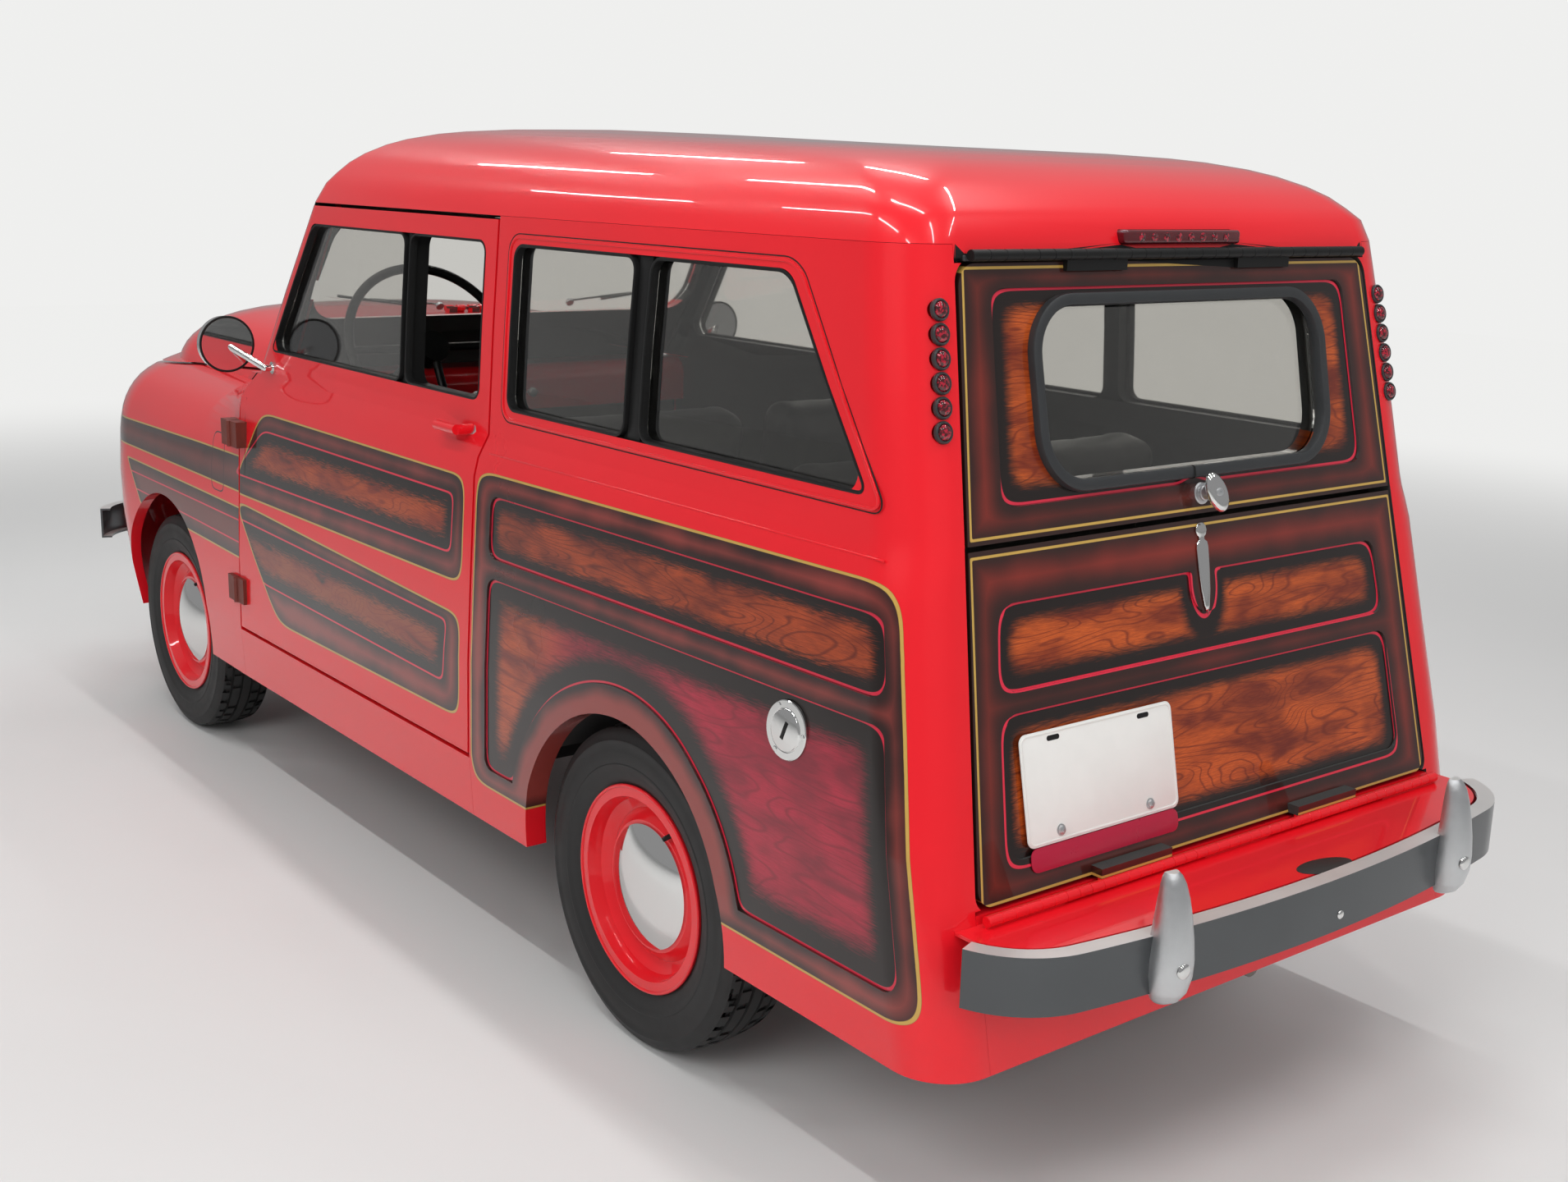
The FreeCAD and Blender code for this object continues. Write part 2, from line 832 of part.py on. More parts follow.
def door_outline(grow):
    """The door's outline from the side, its upper front edge behind the windscreen pillar."""
    front = d.door_front - grow
    top = d.eaves_height - d.door_gap + grow
    shoulder = d.belt_height
    return flat(
        (front, d.door_bottom - grow),
        (front, d.door_slope_start),
        (screen_place(shoulder) + d.pillar_width - grow, shoulder),
        (screen_place(top) + d.pillar_width - grow, top),
        (d.door_rear + grow, top),
        (d.door_rear + grow, d.door_bottom - grow),
    )


def hatch_outline(grow):
    """The upper tail door's outline from behind."""
    return flat(
        (-hatch_half_bottom - grow, d.hatch_bottom - grow),
        (hatch_half_bottom + grow, d.hatch_bottom - grow),
        (hatch_half_top + grow, d.hatch_top + grow),
        (-hatch_half_top - grow, d.hatch_top + grow),
    )


def gate_outline(grow):
    """The lower tail door's outline from behind."""
    return flat(
        (-gate_half_bottom - grow, d.gate_bottom - grow),
        (gate_half_bottom + grow, d.gate_bottom - grow),
        (hatch_half_bottom + grow, d.gate_top + grow),
        (-hatch_half_bottom - grow, d.gate_top + grow),
    )


def recess_in(panel, zone):
    """A panel with a shallow recess of the given outline pressed into its outer face."""
    return panel.cut(zone.cut(main_body(d.recess)))


def tail_recess(low, high, low_half, high_half):
    """A recess outline on the rear face, between two heights."""
    points = flat((-low_half, low), (low_half, low), (high_half, high), (-high_half, high))
    return rear_prism(points, d.recess_corner, d.taper_start, FAR)


def side_recess(low, high, low_rear, high_rear):
    """A recess outline on the left quarter, between two heights."""
    points = flat((d.recess_front, low), (low_rear, low), (high_rear, high), (d.recess_front, high))
    return side_prism(points, d.recess_corner, door_inner, FAR)


def pane(opening, low, high):
    """A window pane that follows the body between two depths under its surface."""
    return opening.common(main_body(low)).cut(main_body(high))


pane_back = d.glass_depth + d.glass_thick
door_zone = side_prism(door_outline(0), 0, door_inner, FAR)
door_room = side_prism(door_outline(d.door_gap), 0, door_inner - d.door_gap, FAR)
hatch_corners = [0, 0, d.hatch_corner, d.hatch_corner]
gate_corners = [d.gate_corner, d.gate_corner, 0, 0]
hatch_zone = rear_prism(hatch_outline(0), hatch_corners, d.taper_start, FAR)
hatch_room = rear_prism(hatch_outline(d.rear_gap), hatch_corners, d.taper_start, FAR)
gate_zone = rear_prism(gate_outline(0), gate_corners, d.taper_start, FAR)
gate_room = rear_prism(gate_outline(d.rear_gap), gate_corners, d.taper_start, FAR)


def hood_line(gap):
    """Side view of the space above the hood's shut line, kept off by a gap."""
    slope = (hood_line_rear - d.hood_line_front) / (hood_rear - hood_front)
    end = hood_front - d.cut_over
    low = d.hood_line_front - d.cut_over * slope + gap
    start = hood_rear - gap
    top = d.roof_height
    return flat((start, hood_line_rear - gap * slope + gap), (start, top), (end, top), (end, low))


hood_zone = side_prism(hood_line(d.hood_gap), 0, -FAR, FAR)
hood_room = side_prism(hood_line(0), 0, -FAR, FAR)


# Windows

def door_window(shrink, front_limit, rear_limit):
    """The door's window opening between two places along the car."""
    low = door_window_bottom + shrink
    high = d.door_window_top - shrink
    frame = d.window_frame_front + shrink
    points = flat(
        (max(screen_place(low) + frame, front_limit), low),
        (rear_limit, low), (rear_limit, high),
        (max(screen_place(high) + frame, front_limit), high),
    )
    return side_prism(points, d.window_radius - shrink, door_inner - d.wall * 2, FAR)


def side_window(shrink, front, top_end, rear):
    """One of the two openings beside the load space."""
    low = side_window_bottom + shrink
    high = d.side_window_top - shrink
    points = flat((front + shrink, low), (rear - shrink, low), (top_end - shrink, high), (front + shrink, high))
    corner = d.side_window_corner if top_end != rear else d.window_radius
    radii = [d.window_radius - shrink, d.window_radius - shrink, corner - shrink, d.window_radius - shrink]
    return side_prism(points, radii, door_inner - d.wall * 2, FAR)


def side_windows(shrink):
    """Both side openings, with the mullion between them."""
    half = d.mullion_width / 2
    ahead = side_window(shrink, d.side_window_front, d.mullion_place - half, d.mullion_place - half)
    behind = side_window(shrink, d.mullion_place + half, side_window_top_end, side_window_rear)
    return [ahead, behind]


def screen_window(shrink):
    """The windscreen opening."""
    points = flat(
        (-screen_half_bottom + shrink, d.screen_bottom + shrink),
        (screen_half_bottom - shrink, d.screen_bottom + shrink),
        (screen_half_top - shrink, d.screen_top - shrink),
        (-screen_half_top + shrink, d.screen_top - shrink),
    )
    return rear_prism(points, d.screen_radius - shrink, -FAR, 0)


def hatch_window(shrink):
    """The opening in the upper tail door."""
    half = d.hatch_window_half - shrink
    low = d.hatch_window_bottom + shrink
    high = d.hatch_window_top - shrink
    points = flat((-half, low), (half, low), (half, high), (-half, high))
    return rear_prism(points, d.hatch_window_radius - shrink, d.taper_start, FAR)


def mullion_zone():
    """The strip of the quarter that the mullion stands in, between the two side openings."""
    half = d.mullion_width / 2 + d.window_radius
    low = side_window_bottom
    ends = (d.mullion_place - half, d.mullion_place + half)
    return block(door_inner, FAR, *ends, low, d.side_window_top)


def set_back(zone):
    """What is cut from a window frame to set it back from the outer face."""
    return zone.cut(main_body(d.frame_set_back))


divider_half = d.divider_width / 2
door_openings = [
    door_window(0, -FAR, d.door_divider - divider_half),
    door_window(0, d.door_divider + divider_half, door_window_rear),
]


# Hinges across the car: shares of a pin's half length

FIXED_KNUCKLE_SHARES = (-0.9, 0, 0.9)
MOVING_KNUCKLE_SHARES = (-0.45, 0.45)
KNUCKLE_WIDTH_SHARE = 0.15


def knuckles(shares, half, place, height, leaves):
    """Hinge knuckles at shares of a pin's half length, each on leaves (y low, y high, z low, z high)."""
    shapes = []
    for share in shares:
        low = (share - KNUCKLE_WIDTH_SHARE) * half
        high = (share + KNUCKLE_WIDTH_SHARE) * half
        shapes.append(rod(d.knuckle_radius, Vector(low, place, height), Vector(high, place, height)))
        shapes += [block(low, high, *leaf) for leaf in leaves]
    return shapes


def hinge(panel, carrier, half, place, height, moving_leaves, fixed_leaves):
    """Join a moving panel to its carrier by knuckles on one pin; returns both with their hinge halves."""
    ends = (Vector(-half, place, height), Vector(half, place, height))
    pin = rod(d.pin_radius, *ends)
    bore = rod(d.pin_radius + d.fit_gap, *ends)
    moving = panel.fuse(knuckles(MOVING_KNUCKLE_SHARES, half, place, height, moving_leaves)).cut(bore)
    fixed = carrier.fuse([pin] + knuckles(FIXED_KNUCKLE_SHARES, half, place, height, fixed_leaves))
    return moving, fixed


# Body panels

def hinge_leaf(height, low, high):
    """A flat hinge leaf between two places along the car."""
    half = d.hinge_length / 2
    return block(hinge_axis_out - d.wall * 3 / 4, hinge_axis_out, low, high, height - half, height + half)


def make_doors():
    """Each door, as thick as its frame, with hinge barrels and a stub handle."""
    door = shell.common(door_zone).cut(door_openings)
    door = door.cut(set_back(door_window(0, -FAR, door_window_rear)))
    axis = Vector(hinge_axis_out, hinge_axis_place, 0)
    for height in (d.hinge_low, d.hinge_high):
        start = axis + Vector(0, 0, height - d.hinge_length / 2)
        barrel = rod(d.hinge_radius, start, start + Vector(0, 0, d.hinge_length))
        edge = hinge_axis_place + d.wall
        leaf = hinge_leaf(height, hinge_axis_place, edge)
        door = door.fuse([barrel, leaf.cut(cabin)])
    stem = Vector(door_inner + d.wall, d.handle_place, handle_height)
    grip = stem + Vector(d.wall + d.handle_reach - d.handle_radius, 0, 0)
    lever = rod(d.handle_radius, grip, grip - Vector(0, d.handle_length, 0))
    door = door.fuse([rod(d.handle_radius, stem, grip), lever])
    reflected("door_right", shaped("door_left", door))
    glass = pane(door_window(d.fit_gap, -FAR, d.door_divider - divider_half - d.fit_gap), d.glass_depth, pane_back)
    reflected("door_glass_right", shaped("door_glass_left", glass))
    return door


def arch(place, height, grow=0):
    """The round cut of a wheel arch through the left side."""
    start = Vector(d.kingpin_place, place, height)
    return rod(d.arch_radius + grow, start - Vector(d.wall * 3, 0, 0), start + Vector(d.body_half_width, 0, 0))


def make_sides():
    """The sills and the rear quarters with their windows, arches and lamp seats."""
    low = d.body_bottom - d.cut_over
    front = d.door_front - d.door_gap
    rear = d.door_rear + d.door_gap
    sill = shell.common(block(0, FAR, front + d.seam, rear - d.seam, low, d.sill_top))
    reflected("sill_right", shaped("sill_left", sill))
    quarter = shell.common(block(0, FAR, rear, FAR, low, d.eaves_height - d.seam))
    half = gate_half_bottom + d.rear_gap + d.seam
    tail = block(-half, half, load_rear, FAR, low, d.gate_bottom)
    header = block(0, hatch_half_top + d.rear_gap + d.seam, side_window_top_end, FAR, d.hatch_top, FAR)
    lamps = [lamp.removeSplitter() for lamp in tail_lamp_shapes(d.fit_gap)]
    cuts = [hatch_room, gate_room, tail, header, arch(d.rear_axle_place, d.rear_arch_height)]
    quarter = quarter.cut(cuts + side_windows(0) + lamps + [set_back(mullion_zone())])
    low_edge = d.quarter_low_bottom
    high_edge = d.quarter_low_top
    ends = [tail_place(edge) - d.quarter_low_tail_gap for edge in (low_edge, high_edge)]
    lower = side_recess(low_edge, high_edge, *ends)
    lower = lower.cut(arch(d.rear_axle_place, d.rear_arch_height, d.recess_arch_gap))
    low_edge = d.quarter_high_bottom
    high_edge = d.quarter_high_top
    ends = [tail_place(edge) - d.quarter_high_tail_gap for edge in (low_edge, high_edge)]
    upper = side_recess(low_edge, high_edge, *ends)
    quarter = recess_in(recess_in(quarter, lower), upper)
    shaped("quarter_right", mirrored(quarter))
    shaped("quarter_left", quarter.cut(fuel_cap_shape(d.fit_gap)))
    glass = [pane(opening, d.glass_depth, pane_back) for opening in side_windows(d.fit_gap)]
    shaped("quarter_glass", Part.makeCompound(glass + [mirrored(one) for one in glass]))


def make_roof():
    """The roof with the header above the upper tail door, and that door on its top hinge."""
    top = block(-FAR, FAR, -FAR, FAR, d.eaves_height, d.roof_height + d.cut_over)
    half = hatch_half_top + d.rear_gap
    height = d.hatch_top + d.rear_gap
    header = block(-half, half, side_window_top_end, FAR, height, d.eaves_height + d.wall)
    roof = shell.common(top.fuse(header)).cut(brake_lamp_shape(d.fit_gap))
    hatch = shell.common(hatch_zone).cut(hatch_window(0))
    halves = (hatch_half_bottom - d.hatch_recess_side, hatch_half_top - d.hatch_recess_high_side)
    hatch = recess_in(hatch, tail_recess(d.hatch_recess_bottom, d.hatch_recess_top, *halves))
    place = hatch_axis_place
    height = hatch_axis_height
    skin = tail_place(d.hatch_top) - d.seam
    moving_leaf = (skin, place, height - d.leaf_reach, height)
    fixed_leaf = (place - d.leaf_reach, place, height - d.pin_radius / 2, height + d.pin_radius / 2)
    hatch, roof = hinge(hatch, roof, hatch_pin_half, place, height, [moving_leaf], [fixed_leaf])
    shaped("roof", roof)
    shaped("hatch", hatch)
    shaped("hatch_glass", pane(hatch_window(d.fit_gap), d.glass_depth, pane_back))


def make_cowl():
    """The firewall, scuttle and windscreen frame as one pressing, with the hood on its hinge."""
    front = firewall_front
    half = cowl_half
    lower = block(-half, half, front, d.cowl_place, d.floor_height, hood_line_rear + d.seam)
    upper = block(-FAR, FAR, front, d.door_rear, hood_line_rear + d.seam, d.eaves_height - d.seam)
    cowl = shell.common(lower.fuse(upper))
    cowl = cowl.cut([door_room, mirrored(door_room), screen_window(0)])
    place = hood_axis_place
    height = hood_axis_height
    low = d.hood_crest - d.leaf_thick / 3
    moving_leaf = (place - d.leaf_reach, place, low, height)
    fixed_leaf = (place, place + d.leaf_reach, low, height)
    hood = shell.common(hood_zone)
    hood, cowl = hinge(hood, cowl, d.hood_pin_half, place, height, [moving_leaf], [fixed_leaf])
    shaped("hood", hood)
    shaped("cowl", cowl)
    shaped("windscreen", pane(screen_window(d.fit_gap), d.glass_depth, pane_back))


def make_front():
    """The wings and the nose between them."""
    rear = d.door_front - d.door_gap
    low = d.body_bottom - d.cut_over
    below = shell.cut(hood_room).common(block(-FAR, FAR, -FAR, rear, low, hood_line_rear))
    inner = block(-cowl_half - d.seam, cowl_half + d.seam, firewall_front - d.seam, 0, low, FAR)
    nose_end = -d.wheelbase / 2
    centre = block(-d.nose_half, d.nose_half, -FAR, nose_end, low, FAR)
    wing = below.common(block(0, FAR, -FAR, rear, low, FAR))
    room = block(-d.nose_half - d.seam, d.nose_half + d.seam, -FAR, nose_end, low, FAR)
    lamp = headlamp_bucket(d.fit_gap)
    wing = wing.fuse(headlamp_nacelle().cut([engine_bay, room]))
    slots = both(front_of(bracket_shape(d.bracket_slot, -rail_front)))
    wing = wing.cut([inner, room, arch(front_axle_place, d.front_arch_height), lamp, slots])
    for height in (d.hinge_low, d.hinge_high):
        edge = hinge_axis_place - d.hinge_radius - d.fit_gap
        leaf = hinge_leaf(height, edge - d.wall, edge)
        wing = wing.fuse(leaf.cut([engine_bay, inner]))
    reflected("wing_right", shaped("wing_left", wing))
    nose = below.common(centre).cut([grille_opening(0), slots])
    shaped("nose_panel", nose)


def make_tail():
    """The lower tail door and, under it, the valance that carries its hinge."""
    reach = math.hypot(tail_place(d.gate_top) - gate_axis_place, d.gate_top - gate_axis_height)
    axis = Vector(-FAR, gate_axis_place, gate_axis_height)
    swing = rod(reach, axis, axis + Vector(FAR * 2, 0, 0))
    gate = shell.common(gate_zone).common(swing)
    high_half = hatch_half_bottom - d.gate_recess_side
    low_half = gate_half_bottom - d.gate_recess_low_side
    middle_half = (low_half + high_half) / 2
    lower = tail_recess(d.gate_low_bottom, d.gate_low_top, low_half, middle_half)
    notch_foot = Vector(0, d.taper_start, d.gate_notch_height)
    notch = rod(d.gate_notch_half, notch_foot, notch_foot + Vector(0, FAR, 0))
    edge = d.gate_notch_half
    notch = notch.fuse(block(-edge, edge, d.taper_start, d.taper_start + FAR, d.gate_notch_height, FAR))
    upper = tail_recess(d.gate_high_bottom, d.gate_high_top, middle_half, high_half).cut(notch)
    gate = recess_in(recess_in(gate, lower), upper)
    half = gate_half_bottom + d.rear_gap
    low = d.body_bottom - d.cut_over
    valance = shell.common(block(-half, half, load_rear, FAR, low, d.gate_bottom - d.rear_gap))
    edge = tail_place(d.ledge_height, d.wall / 2)
    under = d.ledge_height - d.ledge_thick
    ledge = block(-ledge_half, ledge_half, load_rear, FAR, under, d.ledge_height).cut(main_body(-d.fit_gap))
    ledge = ledge.fuse(block(-half, half, edge, gate_axis_place, under, d.ledge_height))
    ledge = ledge.common(bumper_room(d.bumper_flange + d.ledge_gap))
    valance = valance.fuse(ledge).cut(both(bracket_shape(d.bracket_slot, rail_rear)))
    place = gate_axis_place
    height = gate_axis_height
    top = height + d.leaf_reach
    moving_leaves = [
        (place - d.knuckle_radius, place, height, top),
        (place - d.leaf_reach, place, d.gate_bottom, top),
    ]
    lug = d.pin_radius / 2
    fixed_leaf = (place - lug, place + lug, d.ledge_height - d.ledge_thick, height)
    gate, valance = hinge(gate, valance, gate_pin_half, place, height, moving_leaves, [fixed_leaf])
    shaped("tailgate", gate)
    shaped("rear_valance", valance)


# Lamps, grille, bumpers and mirrors

def tail_lamp_shapes(grow):
    """The column of round lamps beside the tail doors, on the left."""
    lamps = []
    lean = Vector(0, 1, d.rear_lean_share).normalize()
    for step in range(6):
        height = d.tail_lamp_top - step * d.tail_lamp_pitch
        side = tail_lamp_top_side + (tail_lamp_low_side - tail_lamp_top_side) * step / 5
        face = Vector(side, tail_place(height), height)
        start = face - lean * (d.tail_lamp_rise * 3 + grow)
        lamps.append(rod(d.tail_lamp_radius + grow, start, face + lean * d.tail_lamp_rise))
    return lamps


def brake_lamp_shape(grow):
    """The narrow lamp housing above the upper tail door."""
    half = d.brake_lamp_half + grow
    tall = d.brake_lamp_tall / 2 + grow
    middle = d.brake_lamp_height
    points = flat((-half, middle - tall), (half, middle - tall), (half, middle + tall), (-half, middle + tall))
    start = brake_lamp_front - grow
    return rear_prism(points, d.brake_lamp_radius, start, brake_lamp_front + d.brake_lamp_deep)


def fuel_cap_shape(grow):
    """The round fuel cap in the left quarter."""
    face = d.body_half_width - d.wall / 2
    start = Vector(face - d.fuel_cap_rise - grow, d.fuel_cap_place, d.fuel_cap_height)
    end = Vector(face + d.fuel_cap_rise, d.fuel_cap_place, d.fuel_cap_height)
    return rod(d.fuel_cap_radius + grow, start, end)


def headlamp_bucket(grow):
    """The left headlamp's round bucket, set into the wing."""
    front = Vector(d.headlamp_place, headlamp_front, headlamp_height)
    return rod(d.headlamp_radius + grow, front, front + Vector(0, d.headlamp_depth + grow, 0))


def headlamp_nacelle():
    """The round housing that the wing forms about the left headlamp."""
    front = Vector(d.headlamp_place, headlamp_front + d.nacelle_set_back, headlamp_height)
    radius = d.headlamp_radius + d.nacelle_wall
    return Part.makeCone(radius, radius + d.nacelle_grow, d.headlamp_depth, front, Vector(0, 1, 0))


def grille_opening(shrink):
    """The rounded opening in the nose."""
    half = d.grille_half - shrink
    low = d.grille_bottom + shrink
    high = d.grille_top - shrink
    points = flat((-half, low), (half, low), (half, high), (-half, high))
    return rear_prism(points, d.grille_radius - shrink, -FAR, front_axle_place)


def bumper_curve(shrink):
    """Centres, radii and join angle of the bumper's plan curve, drawn in by an amount."""
    turn = math.asin(d.bumper_end_start / d.bumper_arc)
    main_centre = Vector(0, bumper_centre - d.bumper_arc, 0)
    end_centre = main_centre + Vector(math.sin(turn), math.cos(turn), 0) * (d.bumper_arc - d.bumper_end_radius)
    return main_centre, end_centre, d.bumper_arc - shrink, d.bumper_end_radius - shrink, turn


def around(centre, radius, angle):
    """A point of a plan curve; the angle is taken from straight back."""
    return centre + Vector(math.sin(angle), math.cos(angle), 0) * radius


def bumper_edge(shrink):
    """The bumper's plan curve, drawn in by an amount, as three arcs and their two tips."""
    stop = math.radians(d.bumper_end_angle)
    centre, end_centre, radius, end_radius, turn = bumper_curve(shrink)
    tip = around(end_centre, end_radius, stop)
    join = around(centre, radius, turn)
    bend = around(end_centre, end_radius, (turn + stop) / 2)
    crown = around(centre, radius, 0)
    far_tip, far_bend, far_join = [Vector(-p.x, p.y, 0) for p in (tip, bend, join)]
    edges = [
        Part.Arc(tip, bend, join).toShape(),
        Part.Arc(join, crown, far_join).toShape(),
        Part.Arc(far_join, far_bend, far_tip).toShape(),
    ]
    return edges, tip, far_tip


def bumper_room(shrink):
    """The space between the two bumper ends, inside the bar."""
    edges, tip, far_tip = bumper_edge(shrink)
    corners = [tip, Vector(tip.x, 0, 0), Vector(far_tip.x, 0, 0), far_tip]
    edges += [Part.LineSegment(a, b).toShape() for a, b in zip(corners, corners[1:])]
    return Part.Face(Part.Wire(Part.__sortEdges__(edges))).extrude(Vector(0, 0, d.overall_length))


def bumper_bar(shrink_front, shrink_back, low, high):
    """A band of the bumper between two offsets of its plan curve and two heights."""
    front, tip, far_tip = bumper_edge(shrink_front)
    back, end, far_end = bumper_edge(shrink_back)
    ends = [Part.LineSegment(tip, end).toShape(), Part.LineSegment(far_tip, far_end).toShape()]
    wire = Part.Wire(Part.__sortEdges__(front + back + ends))
    wire.translate(Vector(0, 0, low))
    return Part.Face(wire).extrude(Vector(0, 0, high - low))


def bumper_channel():
    """The bumper's bar: a face with a flange turned in along its top and its bottom."""
    low = d.bumper_top - d.bumper_height
    face = bumper_bar(0, d.bumper_thick, low, d.bumper_top)
    upper = bumper_bar(0, d.bumper_flange, d.bumper_top - d.bumper_lip, d.bumper_top)
    lower = bumper_bar(0, d.bumper_flange, low, low + d.bumper_lip)
    return face.fuse([upper, lower]).removeSplitter()


def overrider():
    """The left overrider, a tall casting that swells towards its foot, as it stands at the tail."""
    face = d.overall_length / 2
    tall = d.overrider_top - d.overrider_bottom
    wires = []
    for rise, width, proud in OVERRIDER_SHARES:
        height = d.overrider_bottom + rise * tall
        half = d.overrider_width / 2 * width
        front = face - d.overrider_deep * (1 - proud)
        back = face - d.overrider_deep - d.overrider_radius
        left = d.overrider_place - half
        right = d.overrider_place + half
        shoulder = back + (front - back) * OVERRIDER_SHOULDER_SHARE
        start = Vector(left, shoulder, height)
        end = Vector(right, shoulder, height)
        crown = Part.Arc(start, Vector(d.overrider_place, front, height), end).toShape()
        corners = [end, Vector(right, back, height), Vector(left, back, height), start]
        sides = [Part.LineSegment(a, b).toShape() for a, b in zip(corners, corners[1:])]
        wires.append(Part.Wire([crown] + sides))
    return Part.makeLoft(wires, True, True, False)


def bracket_shape(grow, rail_end):
    """The left bar that carries a bumper from the frame rail, as it lies at the tail."""
    half = d.bracket_width / 2 + grow
    low = d.bracket_bottom - grow
    high = d.bracket_bottom + d.bracket_height + grow
    start = rail_end - d.bracket_width
    return block(d.spring_place - half, d.spring_place + half, start, FAR, low, high)


def front_of(shape):
    """The same shape turned to the car's other end."""
    return shape.mirror(Vector(), Vector(0, 1, 0))


def make_bumpers():
    """The two bumpers, each a curved bar with two overriders."""
    bar = bumper_channel()
    inside = bumper_room(d.bumper_thick)
    horn = overrider().cut(inside)
    rear = bar.fuse([horn, mirrored(horn)])
    shaped("bumper_rear", rear)
    shaped("bumper_front", front_of(rear))


def make_lamps():
    """Tail lamps, brake lamp, fuel cap and headlamps."""
    lamps = tail_lamp_shapes(0)
    shaped("tail_lamps", Part.makeCompound(lamps + [mirrored(one) for one in lamps]))
    shaped("brake_lamp", brake_lamp_shape(0))
    seat = "sizes.body_half_width - sizes.wall / 2 - sizes.fuel_cap_rise"
    place = (seat, "sizes.fuel_cap_place", "sizes.fuel_cap_height")
    keep(sideways("fuel_cap", place, "sizes.fuel_cap_radius", "sizes.fuel_cap_rise * 2"), "fuel_cap")
    bucket = headlamp_bucket(0)
    rims = [edge for edge in bucket.Edges if abs(edge.CenterOfMass.y - headlamp_front) < d.seam]
    bucket = bucket.makeFillet(d.bezel_round, [edge for edge in rims if edge.Closed])
    front = Vector(d.headlamp_place, headlamp_front, headlamp_height)
    seat = rod(d.lens_radius + d.fit_gap, front - Vector(0, d.cut_over, 0), front + Vector(0, d.lens_seat, 0))
    shaped("headlamps", both(bucket.cut(seat)))
    radius = (d.lens_radius ** 2 + d.lens_rise ** 2) / (2 * d.lens_rise)
    ball = Part.makeSphere(radius, front + Vector(0, radius - d.lens_rise, 0))
    lens = rod(d.lens_radius, front - Vector(0, d.lens_rise, 0), front + Vector(0, d.lens_seat - d.fit_gap, 0))
    shaped("headlamp_lenses", both(lens.common(ball)))


def make_grille():
    """The grille's frame and level bars, fitted in the nose opening."""
    front = nose_place
    slab = block(-FAR, FAR, front, front + d.grille_deep, 0, FAR)
    outer_edge = grille_opening(d.fit_gap)
    inner_edge = grille_opening(d.grille_frame)
    frame = outer_edge.cut(inner_edge).common(slab)
    bars = []
    pitch = d.grille_bar * 3
    count = int((d.grille_top - d.grille_bottom) / pitch)
    for step in range(1, count):
        low = d.grille_bottom + step * pitch - d.grille_bar / 2
        bars.append(block(-FAR, FAR, front + d.grille_bar / 2, front + d.grille_deep, low, low + d.grille_bar))
    level = Part.makeCompound(bars).common(inner_edge)
    post = block(-d.grille_bar / 2, d.grille_bar / 2, front, front + d.grille_deep, 0, FAR).common(inner_edge)
    shaped("grille", frame.fuse([level, post]))


def make_mirrors(door):
    """A round mirror on an arm at the front of each door."""
    centre = Vector(mirror_side, d.mirror_place, mirror_height)
    back = centre - Vector(0, d.mirror_deep, 0)
    disc = rod(d.mirror_radius, back, centre)
    foot = Vector(mirror_foot_side, d.mirror_foot_place, mirror_foot_height)
    inward = Vector(d.mirror_foot_deep * 2, 0, 0)
    base = rod(d.mirror_foot_radius, foot - inward, foot)
    bend = foot + Vector(d.mirror_foot_deep, 0, 0)
    arm = rod(d.mirror_arm_radius, foot, bend).fuse(Part.makeSphere(d.mirror_arm_radius, bend))
    reach = rod(d.mirror_arm_radius, bend, back + Vector(0, d.mirror_arm_radius, 0))
    mirror = disc.fuse([base, arm, reach]).cut([door, cabin])
    mirror = max(mirror.Solids, key=lambda solid: solid.Volume)
    reflected("mirror_right", shaped("mirror_left", mirror))


# Wheels, axles and frame

